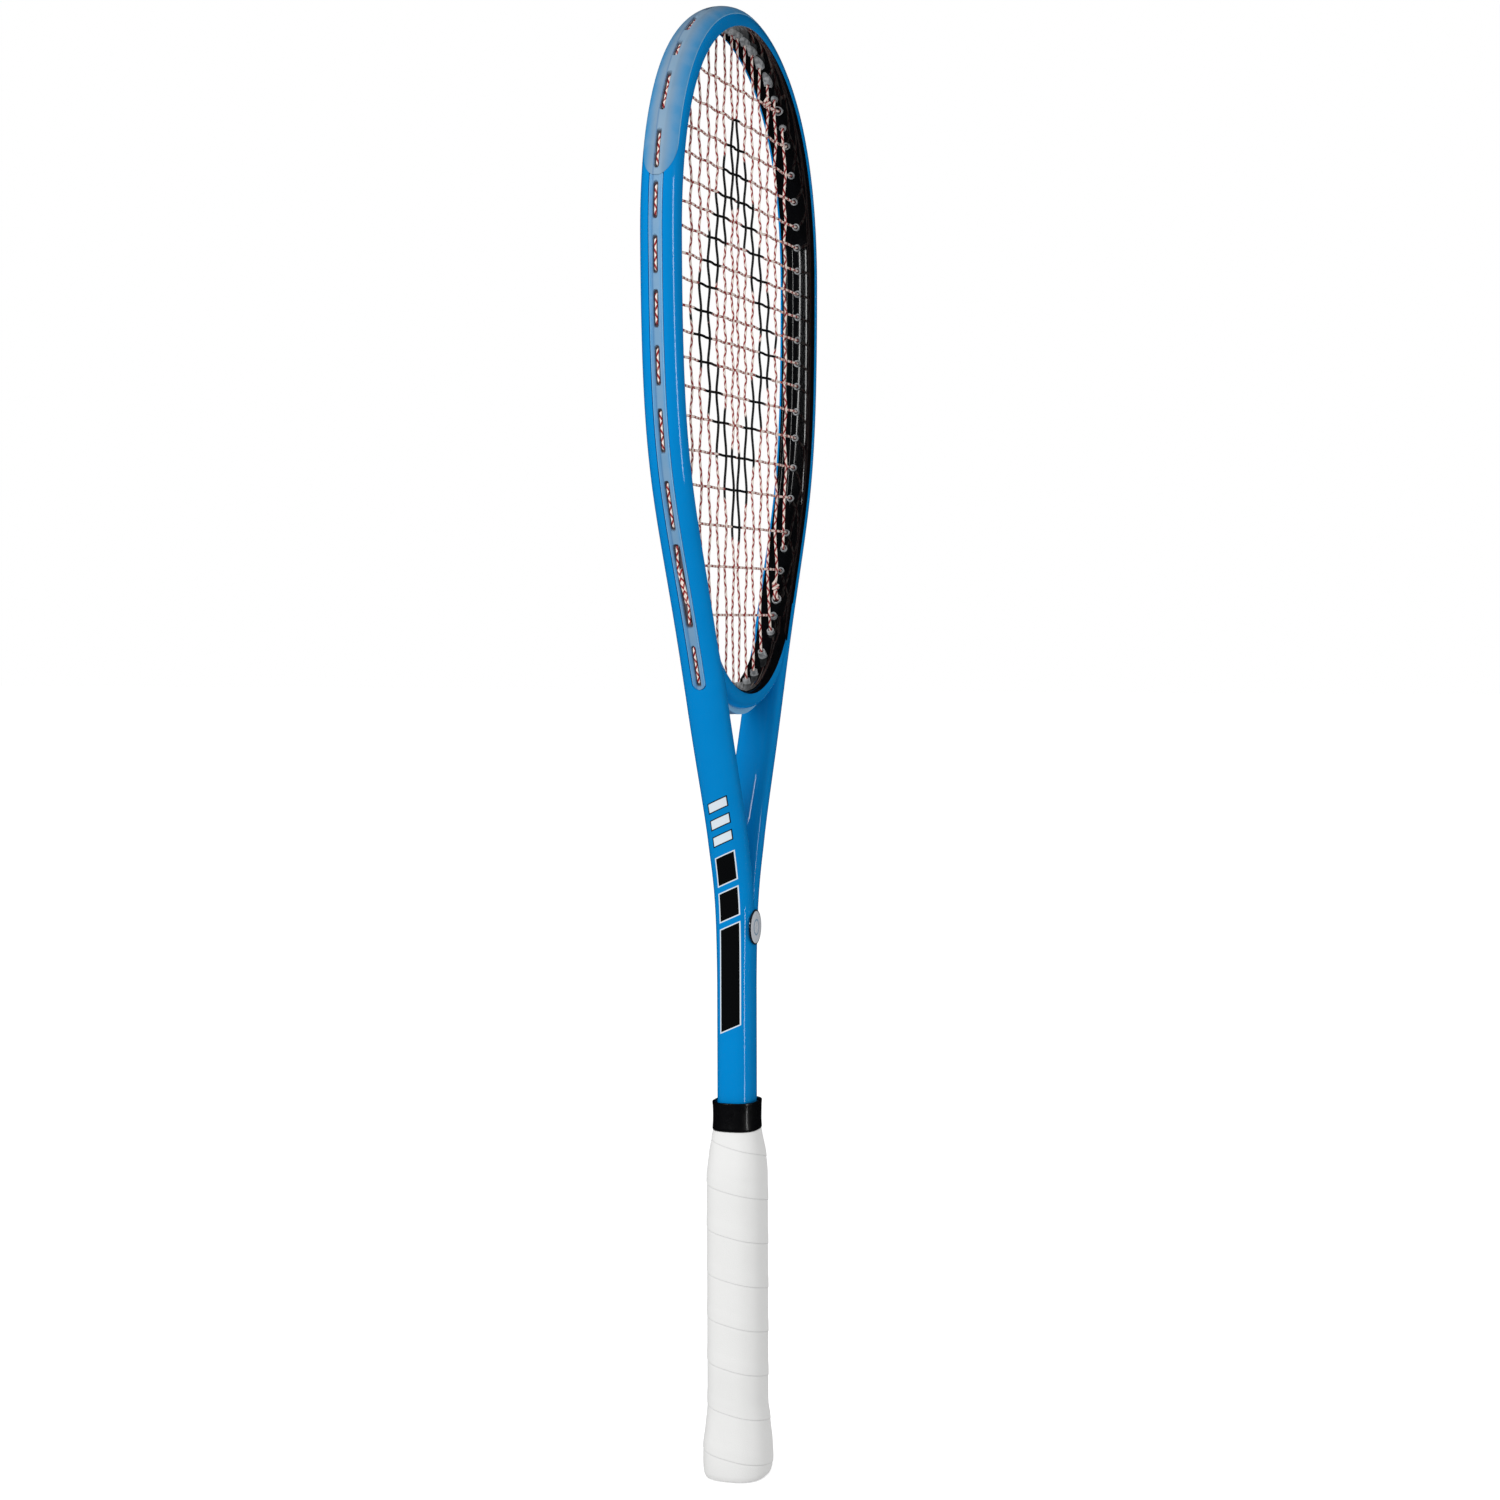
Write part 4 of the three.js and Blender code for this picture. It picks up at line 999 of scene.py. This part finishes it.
def pit_share(at, y, line, holes):
    """1 over the mouth of a barrel."""
    pits = np.zeros(np.broadcast(at, y).shape)
    for one in holes:
        gap = BARREL_BORE - np.hypot(at - one.along * line.length, y)
        pits = np.maximum(pits, np.clip(gap / RIM + 0.5, 0, 1))
    return pits


def edge_height(from_edge):
    """A rounded edge: 0 at the edge itself, 1 from STRIP_EDGE inwards."""
    return np.sqrt(1 - (1 - np.clip(from_edge / STRIP_EDGE, 0, 1)) ** 2)


def under_bridge(point):
    """How far a grommet has to come out to stand on the bridge's inner face."""
    from_centre = point[[X, Z]] - [0, BRIDGE_CENTRE_Z]
    angle = math.atan2(abs(from_centre[0]), -from_centre[1])
    face = BRIDGE_RADIUS - BRIDGE_HALF_WIDTH * np.interp(angle, *BRIDGE_INNER_THINNING)
    sunk = np.hypot(*from_centre) - face + HOOP_PROUD
    return max(0.0, sunk / math.cos(angle)) if angle < BRIDGE_INSIDE_ARM else 0.0


def barrel(shell, one, leaf=0.0):
    """A round grommet with an open bore, standing out of the inner face. A leaf spreads along
    the frame towards its foot."""
    tie_off = is_in(one, TIE_OFF)
    radius = TIE_OFF_RADIUS if tie_off else BARREL_RADIUS
    bore = TIE_OFF_BORE if tie_off else BARREL_BORE
    axis = (one.turn - one.bend) / np.linalg.norm(one.turn - one.bend)
    back = np.array([0, 1.0, 0])
    tangent = np.cross(back, axis)
    mouth = one.mouth - axis * under_bridge(one.mouth)
    profile = [  # radius, depth, share of the leaf
        (bore, 4.0, 0), (bore, LIP, 0), (bore + 0.1, 0.08, 0), (bore + 0.3, 0, 0),
        (radius - 0.25, 0, 0), (radius - 0.05, 0.12, 0.02), (radius, LIP, 0.06),
        (radius + 0.05, 1.0, 0.3), (radius + 0.15, 1.9, 0.75), (radius + 0.3, 2.8, 1.0),
        (radius + 0.3, 4.0, 1.0),
    ]  # fmt: skip
    angle = np.linspace(0, 2 * np.pi, BARREL_SIDES, endpoint=False)
    rows = []
    for r, depth, spread in profile:
        ring = np.outer(np.cos(angle) * (r + leaf * spread), tangent)
        rows.append(mouth + axis * depth + ring + np.outer(np.sin(angle) * r, back))
    shell.grid(rows, paint=1, flip=True)


def strip(side, line, low, high, holes, materials):
    """A strip in the groove, with a slot wherever string lies in it."""
    shell = Shell()
    start, end = low * line.length, high * line.length
    at = np.arange(start, end, STRIP_STEP)[:, None]
    half = STRIP_HALF_WIDTH
    # Round ends, and edges that fall away
    from_end = np.minimum(np.minimum(at - start, end - at) - half, 0)
    width = np.sqrt(np.clip(half**2 - from_end**2, STRIP_NARROWEST**2, None)) / half
    y = middle_columns(SLOT_HALF_WIDTH, half, STRIP_COLUMN_STEP)[None] * width
    edge = STRIP_EDGE * (1 - edge_height(half * width - np.abs(y)))
    deep = slot_share(at, y, line, holes)
    deep = deep + PIT_DEPTH / CHANNEL_FLOOR * pit_share(at, y, line, holes) * (deep > 0.5)
    top = np.full(at.shape, float(STRIP_TOP))
    if line is BRIDGE_LINE:
        along = np.sin(np.pi * (at - start) / (end - start))
        top -= THROAT_STRIP_PROUD * along**THROAT_STRIP_SWELL
    depth = top + edge + (CHANNEL_FLOOR - top) * deep
    t = at[:, 0] / line.length
    points = below(line, t, 0)[:, None] - line.outward(t)[:, None] * depth[..., None]
    points[..., Y] = y
    floor = below(line, t, STRIP_FLOOR)[:, None].repeat(2, axis=1)
    floor[..., Y] = y[:, [0, -1]]
    whole = np.concatenate([floor[:, :1], points, floor[:, 1:]], axis=1)
    note = np.pad(np.stack([y, deep, 0 * y], axis=-1), ((0, 0), (1, 1), (0, 0)), mode="edge")
    shell.grid(whole, note=note, flip=line is FRAME_LINE)
    shell.cap(whole[0])
    shell.cap(whole[-1], flip=True)
    for one in holes:
        barrel(shell, one)
    shell.piece(f"{side}_strip", materials, f"{side}_grommet_strip")


def head_bumper(materials):
    shell = Shell()
    start, end = BUMPER_TIP * FRAME_LINE.length, (1 - BUMPER_TIP) * FRAME_LINE.length
    at = np.arange(start + BUMPER_START, end, STRIP_STEP)[:, None]
    t = at[:, 0] / FRAME_LINE.length
    middle, outward = FRAME_LINE.point(t), FRAME_LINE.outward(t)
    outside, half_depth = outside_at(middle[:, Z]), half_depth_at(middle[:, Z])
    z = middle[:, Z] + outward[:, Z] * outside
    up = np.clip((z - BUMPER_TIP_Z) / BUMPER_ROUNDING, BUMPER_LOWEST, 1)
    tip = BUMPER_HALF_WIDTH * np.sqrt(1 - (1 - up) ** 2)
    sides = np.interp(z, *BUMPER_REACH)
    width = (tip**-BUMPER_CORNER + sides**-BUMPER_CORNER) ** (-1 / BUMPER_CORNER)
    across = np.sin(np.linspace(-1, 1, BUMPER_COLUMNS) * BUMPER_CROWDING)
    y = width[:, None] * across[None] / math.sin(BUMPER_CROWDING)
    x, nx, ny = on_outline(outside[:, None], half_depth[:, None], OUTER_SQUARENESS, y)
    from_end = np.minimum(at - start, end - at) + BUMPER_START
    from_edge = np.minimum(width[:, None] - np.abs(y), from_end)
    rise = BUMPER_RISE * edge_height(from_edge) - BUMPER_SINK
    deep = slot_share(at, y, FRAME_LINE, BUMPER_HOLES)
    pits = pit_share(at, y, FRAME_LINE, BUMPER_HOLES) * (deep > 0.5)
    out = x + rise * nx - (CHANNEL_FLOOR + BUMPER_RISE) * deep - PIT_DEPTH * pits
    points = middle[:, None] + outward[:, None] * out[..., None]
    points[..., Y] = y + rise * ny * (deep < 0.01)
    shell.grid(points, closed=False, note=np.stack([y, deep, 0 * y], axis=-1), flip=True)
    leaved = [top[j] for j in range(3, MAINS - 1)]
    for one in BUMPER_HOLES:
        barrel(shell, one, LEAF if is_in(one, leaved) else 0.0)
    shell.piece("bumper_guard", materials, "head_bumper")


# --- The string

STRING_SIDES = 10
STRING_STEP = 2.4
CORNER = 1.1  # how far from a sharp turn the string starts to bend
LONGEST_BEND = 0.4  # of the run beside it
SHARP_TURN = 0.95  # its cosine
WAVED_FROM = 3 * CORNER  # runs shorter than this go straight
CLOSEST = 0.12
KNOT_TURNS = 2.4
KNOT_RADIUS = 1.15
KNOT_RISE = 3.0
KNOT_UNEVENNESS = 0.12
TAIL = (0.3, 2.2)
TAIL_WAY = [0.35, -0.5, 0.8]


def rounded_route(points):
    """The route with its sharp turns rounded, and with a wave from crossing to crossing."""
    steps = np.diff(points, axis=0)
    lengths = np.linalg.norm(steps, axis=1)
    ways = steps / lengths[:, None]
    cuts = np.minimum(CORNER, LONGEST_BEND * lengths)
    turns = [False, *((ways[:-1] * ways[1:]).sum(1) < SHARP_TURN), False]
    path = [points[0]]
    for k, (length, way, cut) in enumerate(zip(lengths, ways, cuts)):
        start, end = points[k], points[k + 1]
        first = cut if turns[k] else 0.0
        left_over = length - first - (cut if turns[k + 1] else 0.0)
        count = max(1, math.ceil(left_over / STRING_STEP))
        for n in range(0 if turns[k] else 1, count + 1):
            distance = first + left_over * n / count
            point = start + way * distance
            if length > WAVED_FROM:
                wave = (1 - math.cos(math.pi * distance / length)) / 2
                point[Y] = start[Y] + (end[Y] - start[Y]) * wave
            path.append(point)
        if turns[k + 1]:
            a, b = path[-1], end + ways[k + 1] * cuts[k + 1]
            for u in (0.25, 0.5, 0.75):
                path.append((1 - u) ** 2 * a + 2 * (1 - u) * u * end + u * u * b)
    spaced = [path[0]]
    for point in path[1:]:
        if np.linalg.norm(point - spaced[-1]) > CLOSEST:
            spaced.append(point)
    return spaced


def knot_path(centre):
    """A few tight turns round the string beside it, and a short tail."""
    u = np.linspace(0, 1, 40)
    angle = 2 * np.pi * KNOT_TURNS * u
    swell = KNOT_RADIUS * (1 + KNOT_UNEVENNESS * np.sin(3 * angle))
    rise = KNOT_RISE * (u - 0.5)
    coil = np.stack([swell * np.cos(angle), swell * np.sin(angle), rise], axis=-1)
    tail = coil[-1] + np.outer(np.linspace(*TAIL, 4), TAIL_WAY)
    return centre + np.concatenate([coil, tail])


def string_bed(material):
    shell = Shell()
    for path in (rounded_route(string_route()), knot_path(TOP_KNOT), knot_path(BOTTOM_KNOT)):
        shell.tube(path, STRING_RADIUS, STRING_SIDES)
    shell.piece("string_strand", [material], "string", sharp=80)


# --- The handle

AROUND = 96
GRIP_OUTSIDE = [
    (14.35, 0.7), (15.1, 3), (15.4, 8), (15.3, 14), (14.3, 25), (13.4, 36), (13.4, 60),
    (13.4, 120), (13.35, 143), (12.3, 155), (10.85, 163.5), (10.6, 165.2),
]  # fmt: skip
GRIP_THICKNESS = 1.4
GRIP_LEAST_INSIDE = 9.0
GRIP_PITCH = 21
# The rows of one turn, by their share of it, closer together at its seam
PHASES = np.array([0.0, 0.012, 0.024, 0.045, 0.08, *np.linspace(0.12, 0.975, 26), 0.988])
# How far the tape stands out across one turn: [phase], [rise]
TAPE_RISE = ([0, 0.012, 0.03, 0.2, 0.34, 0.97, 0.988], [-0.05, 0.16, 0.2, 0.17, 0.02, 0, -0.07])
TAPE_FADE = 2
# Rounding: [in, beyond the end]
GRIP_TOP_EDGE = (0.3, 0.08)
GRIP_FOOT_EDGE = (0.5, 0.1)


def smooth_profile(profile):
    """Radius by height: a curve that runs through the profile's points without overshooting."""
    r, z = (np.array(v, float) for v in zip(*profile))
    slope = np.diff(r) / np.diff(z)
    tangent = np.concatenate([[slope[0]], np.zeros(len(slope) - 1), [slope[-1]]])
    for k in range(1, len(slope)):
        if slope[k - 1] * slope[k] > 0:
            tangent[k] = 2 * slope[k - 1] * slope[k] / (slope[k - 1] + slope[k])

    def radius(height):
        k = np.clip(np.searchsorted(z, height) - 1, 0, len(slope) - 1)
        span = z[k + 1] - z[k]
        u = np.clip((height - z[k]) / span, 0, 1)
        return (
            (2 * u**3 - 3 * u**2 + 1) * r[k] + (u**3 - 2 * u**2 + u) * span * tangent[k]
            + (3 * u**2 - 2 * u**3) * r[k + 1] + (u**3 - u**2) * span * tangent[k + 1]
        )  # fmt: skip

    return radius


def oval(radius, angle):
    x = radius * HANDLE_OVAL * power(np.cos(angle), 2 / SQUARENESS)
    return x, radius * power(np.sin(angle), 2 / SQUARENESS)


def even_angles(count):
    """Angles whose points are evenly spread round the handle's section."""
    fine = np.linspace(0, 2 * np.pi, 4001)
    x, y = oval(1.0, fine)
    run = np.concatenate([[0], np.cumsum(np.hypot(np.diff(x), np.diff(y)))])
    return np.interp(np.linspace(0, run[-1], count, endpoint=False), run, fine)


ANGLES = even_angles(AROUND)


def lathe(shell, profile, wobble=lambda angle, z: 0):
    """A piece of the handle from its profile: [half depth, height]."""
    rows = []
    for r, z in profile:
        x, y = oval(r + wobble(ANGLES, z), ANGLES)
        rows.append(np.stack([x, y, 0 * x + z], axis=-1))
    shell.grid(rows)


def wrapped_grip(material):
    """Tape wound up the handle: its lower edge lies on the turn below."""
    shell = Shell()
    (r_low, low), (r_high, high) = GRIP_OUTSIDE[0], GRIP_OUTSIDE[-1]
    radius = smooth_profile(GRIP_OUTSIDE)
    rows, notes = [], []
    turn = np.linspace(0, 1, AROUND, endpoint=False)
    for n in range(-1, math.ceil((high - low) / GRIP_PITCH) + 1):
        for phase, rise in zip(PHASES, np.interp(PHASES, *TAPE_RISE)):
            z = np.clip(low + (n + phase + turn) * GRIP_PITCH, low, high)
            fade = np.clip((z - low) / TAPE_FADE, 0, 1) * np.clip((high - z) / TAPE_FADE, 0, 1)
            x, y = oval(radius(z) + rise * fade, ANGLES)
            rows.append(np.stack([x, -y, z], axis=-1))
            notes.append(np.stack([0 * z + phase, 0 * z, 0 * z], axis=-1))
    shell.grid(rows, note=notes, shift=len(PHASES), flip=True)
    inner = [(max(r - GRIP_THICKNESS, GRIP_LEAST_INSIDE), z) for r, z in GRIP_OUTSIDE[::-1]]
    top_edge = [(r_high, high), (r_high - GRIP_TOP_EDGE[0], high + GRIP_TOP_EDGE[1])]
    foot_edge = [(r_low - GRIP_FOOT_EDGE[0], low - GRIP_FOOT_EDGE[1]), (r_low, low)]
    lathe(shell, [*top_edge, *inner, *foot_edge])
    shell.piece("grip_tape_wrap", [material], "grip", sharp=60)


# The collar's section, up its outside and down its inside, for a collar 13.5 high
COLLAR_HEIGHT = 13.5
COLLAR_SECTION = [
    (10.45, 0), (10.75, 0.12), (10.88, 0.6), (10.82, 1.6), (10.7, 4), (10.68, 8), (10.72, 11.2),
    (10.84, 12.6), (10.86, 13.0), (10.75, 13.35), (10.5, 13.5), (10.1, 13.45), (9.75, 13.1),
    (9.55, 12.5), (9.55, 0.6), (9.75, 0.1), (10.1, 0), (10.45, 0),
]  # fmt: skip
# How the soft rubber sags: [depth, waves round it, lean]
COLLAR_WAVES = [(0.05, 2, 0.3), (0.03, 5, -0.5)]


def box_of(node):
    return [np.array(corner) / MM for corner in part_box(node)]


def collar(material):
    shell = Shell()
    low, high = box_of("collar")

    def wobble(angle, z):
        return sum(depth * np.sin(n * angle + lean * z) for depth, n, lean in COLLAR_WAVES)

    scale = (high[Z] - low[Z]) / COLLAR_HEIGHT
    lathe(shell, [(r, low[Z] + z * scale) for r, z in COLLAR_SECTION], wobble)
    shell.piece("rubber_collar", [material], "collar", body="collar")


STAPLE_RADIUS = 0.48
STAPLE_BEND = 0.8
STAPLE_INSET = 0.5  # from the CAD staple's faces to the wire's middle


def staple(side, facing, material):
    """A round wire bent twice, its legs in the handle."""
    node = f"butt_cap_staple_{side}"
    low, high = box_of(node)
    half = high[X] - STAPLE_INSET
    deep, out = sorted(np.abs([low[Y], high[Y]]))
    bend_from = out - STAPLE_INSET - STAPLE_BEND
    leg = [(-half, deep)]
    for a in np.linspace(0, math.pi / 2, 6):
        x = -half + STAPLE_BEND * (1 - math.cos(a))
        leg.append((x, bend_from + STAPLE_BEND * math.sin(a)))
    path = leg + [(-x, y) for x, y in leg[::-1]]
    shell = Shell()
    z = (low[Z] + high[Z]) / 2
    shell.tube([(x, facing * y, z) for x, y in path], STAPLE_RADIUS, 12)
    shell.piece(f"{side}_staple_wire", [material], node)


BADGE_SIDES = 72
BADGE_DOME = [  # share of its radius, share of its rise
    (1, -0.6), (1, 0.25), (0.985, 0.42), (0.96, 0.55), (0.9, 0.66), (0.75, 0.8), (0.5, 0.93),
    (0.25, 0.985), (0.02, 1.0),
]  # fmt: skip


def badge(material):
    """A domed disc on the front of the shaft."""
    low, high = box_of("shaft_badge")
    shell = Shell()
    angle = np.linspace(0, 2 * np.pi, BADGE_SIDES, endpoint=False)
    rows, notes = [], []
    for share, up in BADGE_DOME:
        r = high[X] * share
        y = high[Y] - (high[Y] - low[Y]) * up + 0 * angle
        z = (low[Z] + high[Z]) / 2 + r * np.sin(angle)
        rows.append(np.stack([r * np.cos(angle), y, z], axis=-1))
        notes.append(np.stack([r + 0 * angle, 0 * angle, 0 * angle], axis=-1))
    shell.grid(rows, note=notes)
    shell.cap(rows[-1])
    shell.piece("shaft_badge_dome", [material], "shaft_badge")


# --- Camera, light and floor

CAMERA_SIDE = math.radians(71.4)
CAMERA_PITCH = math.radians(2.67058)
CAMERA_ROLL = math.radians(-0.140907)
CAMERA_DISTANCE = 1290.209
CAMERA_HEIGHT = 404.3602
CAMERA_ACROSS = 6.426
CAMERA_LENS = 65.996
CAMERA_CLIP = (0.05, 60)
SENSOR = 36

ROOM = (0.64, 0.64, 0.64)
ROOM_IN_GLOSS = (0.004, 0.004, 0.005)
ROOM_SEEN = (1, 1, 1)
FLOOR_REACH = 14.0
SQUARE = [(-1, -1), (1, -1), (1, 1), (-1, 1)]
FLOOR_GLOW = 0.45
# [name, place, what it faces, size, watts, shines in gloss?, lights the rest?]
LIGHTS = [
    ("key", (-1.7, 0.25, 0.95), (0, 0, 0.55), (0.6, 1.0), 21, False, True),
    ("front_box", (-0.55, -2.0, 0.5), (0, 0, 0.45), (0.26, 1.6), 9, True, False),
    ("glint_box", (-2.0, 0.75, 1.42), (0, 0, 1.42), (0.035, 2.0), 3.6, True, False),
    ("fill", (0.35, -0.6, 0.06), (0, 0, 0.1), (0.3, 0.3), 1.5, False, True),
]


def link(name, data):
    thing = bpy.data.objects.new(name, data)
    bpy.context.scene.collection.objects.link(thing)
    return thing


def camera():
    side, pitch, roll = CAMERA_SIDE, CAMERA_PITCH, CAMERA_ROLL
    behind = np.array([math.sin(side), math.cos(side), 0])
    forward = behind * math.cos(pitch) - [0, 0, math.sin(pitch)]
    level = np.array([math.cos(side), -math.sin(side), 0])
    up = np.cross(level, forward)
    right_way = level * math.cos(roll) + up * math.sin(roll)
    up_way = -level * math.sin(roll) + up * math.cos(roll)
    place = -CAMERA_DISTANCE * behind + [0, 0, CAMERA_HEIGHT] + level * CAMERA_ACROSS
    data = bpy.data.cameras.new("camera")
    data.sensor_width = SENSOR
    data.lens = CAMERA_LENS
    data.clip_start, data.clip_end = CAMERA_CLIP
    thing = link("camera", data)
    axes = Matrix([right_way, up_way, -forward]).transposed().to_4x4()
    thing.matrix_world = Matrix.Translation(Vector(place * MM)) @ axes
    bpy.context.scene.camera = thing


def room():
    """A pale room: even soft light, that gloss doesn't show."""
    world = bpy.data.worlds.new("studio")
    bpy.context.scene.world = world
    world.use_nodes = True
    tree = world.node_tree
    path = tree.nodes.new("ShaderNodeLightPath")
    colour = None
    for ray, seen in (("Is Glossy Ray", ROOM_IN_GLOSS), ("Is Camera Ray", ROOM_SEEN)):
        mix = tree.nodes.new("ShaderNodeMix")
        mix.data_type = "RGBA"
        sockets = [s for s in mix.inputs if s.type == "RGBA"]
        tree.links.new(path.outputs[ray], mix.inputs["Factor"])
        if colour:
            tree.links.new(colour, sockets[0])
        else:
            sockets[0].default_value = (*ROOM, 1)
        sockets[1].default_value = (*seen, 1)
        colour = next(s for s in mix.outputs if s.type == "RGBA")
    tree.links.new(colour, tree.nodes["Background"].inputs["Color"])


def lights():
    for name, at, towards, size, watts, gloss, diffuse in LIGHTS:
        data = bpy.data.lights.new(name, "AREA")
        data.shape = "RECTANGLE"
        data.size, data.size_y = size
        data.energy = watts
        thing = link(name, data)
        thing.visible_glossy, thing.visible_diffuse = gloss, diffuse
        thing.visible_camera = False
        thing.location = at
        thing.rotation_mode = "QUATERNION"
        thing.rotation_quaternion = (Vector(towards) - Vector(at)).to_track_quat("-Z", "Y")


def floor():
    mesh = bpy.data.meshes.new("floor")
    corners = [(x * FLOOR_REACH, y * FLOOR_REACH, cad_low.z) for x, y in SQUARE]
    mesh.from_pydata(corners, [], [(0, 1, 2, 3)])
    thing = link("floor", mesh)
    paint = Paint("floor", Roughness=1.0, Specular_IOR_Level=0.0)
    cloud = paint.noise(0.004, 3)
    paint.set(Base_Color=paint.mix(cloud, (0.95, 0.95, 0.95), (0.93, 0.93, 0.935)))
    paint.set(Emission_Color=(1, 1, 1, 1), Emission_Strength=FLOOR_GLOW)
    mesh.materials.append(paint.material)
    thing.visible_glossy = thing.visible_diffuse = False
    thing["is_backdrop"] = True


# --- Everything

camera()
room()
lights()
floor()
bpy.context.scene.view_settings.view_transform = "Standard"

blue = lacquer()
black = plain(
    "black_lacquer", (4, 4, 5), (12, 13, 15), scale=0.3, rough=(0.12, 0.24), bump=0.05,
    fineness=(0.4, 4, 0.4, 2), Coat_Weight=0.8, Coat_Roughness=0.05, Specular_IOR_Level=UNDER_COAT,
)  # fmt: skip
grommet = barrel_plastic()
bumper_paint = frosted("bumper_plastic", (112, 142, 168), (52, 138, 192), reach=7.4, edge=8.1)
strip_paint = frosted(
    "strip_plastic", (84, 134, 174), (66, 138, 190), reach=3.0, edge=STRIP_HALF_WIDTH
)

frame_body(blue, black)
throat_bridge(blue, black)
head_bumper([bumper_paint, grommet])
run_on = UNDER_BUMPER / FRAME_LINE.length
for side, line, low, high, holes in (
    ("right", FRAME_LINE, RIGHT_END, STRIP_TIP + run_on, RIGHT_HOLES),
    ("left", FRAME_LINE, 1 - STRIP_TIP - run_on, 1 - RIGHT_END, LEFT_HOLES),
    ("throat", BRIDGE_LINE, 1 - THROAT_TIP, THROAT_TIP, THROAT_HOLES),
):
    strip(side, line, low, high, holes, [strip_paint, grommet])
string_bed(strand())
badge(badge_resin())
wrapped_grip(grip_tape())
collar(rubber())
INNER_PAINTS = {  # two colours, the scale, the roughness and the bump
    "butt_cap_plastic": ((22, 22, 24), (34, 34, 37), 0.5, (0.45, 0.65), 0.05),
    "finishing_tape": ((20, 20, 22), (36, 36, 38), 0.8, (0.4, 0.6), 0.05),
    "pallet_foam": ((206, 196, 174), (186, 174, 150), 1.2, (0.8, 0.95), 0.25),
}
for name, paint, slot, node, profile in (  # each profile is [half depth, height]
    ("butt_cap_moulding", "butt_cap_plastic", "butt_cap", "butt_cap",
     [(0, 0), (6, 0), (11.9, 0), (12.4, 0.15), (12.9, 0.5), (13.2, 1.2), (13.5, 6), (13.3, 14),
      (12.75, 25.6), (12.5, 26), (11.6, 26), (11.5, 25.8), (11.5, 3.2), (11.3, 3), (0, 3)]),
    ("finishing_tape_ring", "finishing_tape", "finishing_tape", "finishing_tape",
     [(9.25, 165.6), (9.3, 165.8), (9.28, 170), (9.32, 174.8), (9.2, 175), (8.9, 175),
      (8.9, 165.6), (9.25, 165.6)]),
    ("foam_pallet", "pallet_foam", "pallet", "handle_pallet",
     [(8.9, 3.6), (10.9, 3.6), (11.2, 3.9), (11.2, 139), (11.15, 140.4), (9.8, 151.4),
      (9.5, 152), (8.9, 152), (8.9, 3.6)]),
):  # fmt: skip
    shell = Shell()
    lathe(shell, profile)
    shell.piece(name, [plain(paint, *INNER_PAINTS[paint])], node, sharp=40)
wire = plain(
    "staple_steel", (170, 172, 176), (198, 200, 204), scale=2.0, rough=(0.2, 0.4), bump=0.02,
    Metallic=1.0,
)  # fmt: skip
staple("front", -1, wire)
staple("back", 1, wire)

low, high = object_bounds()
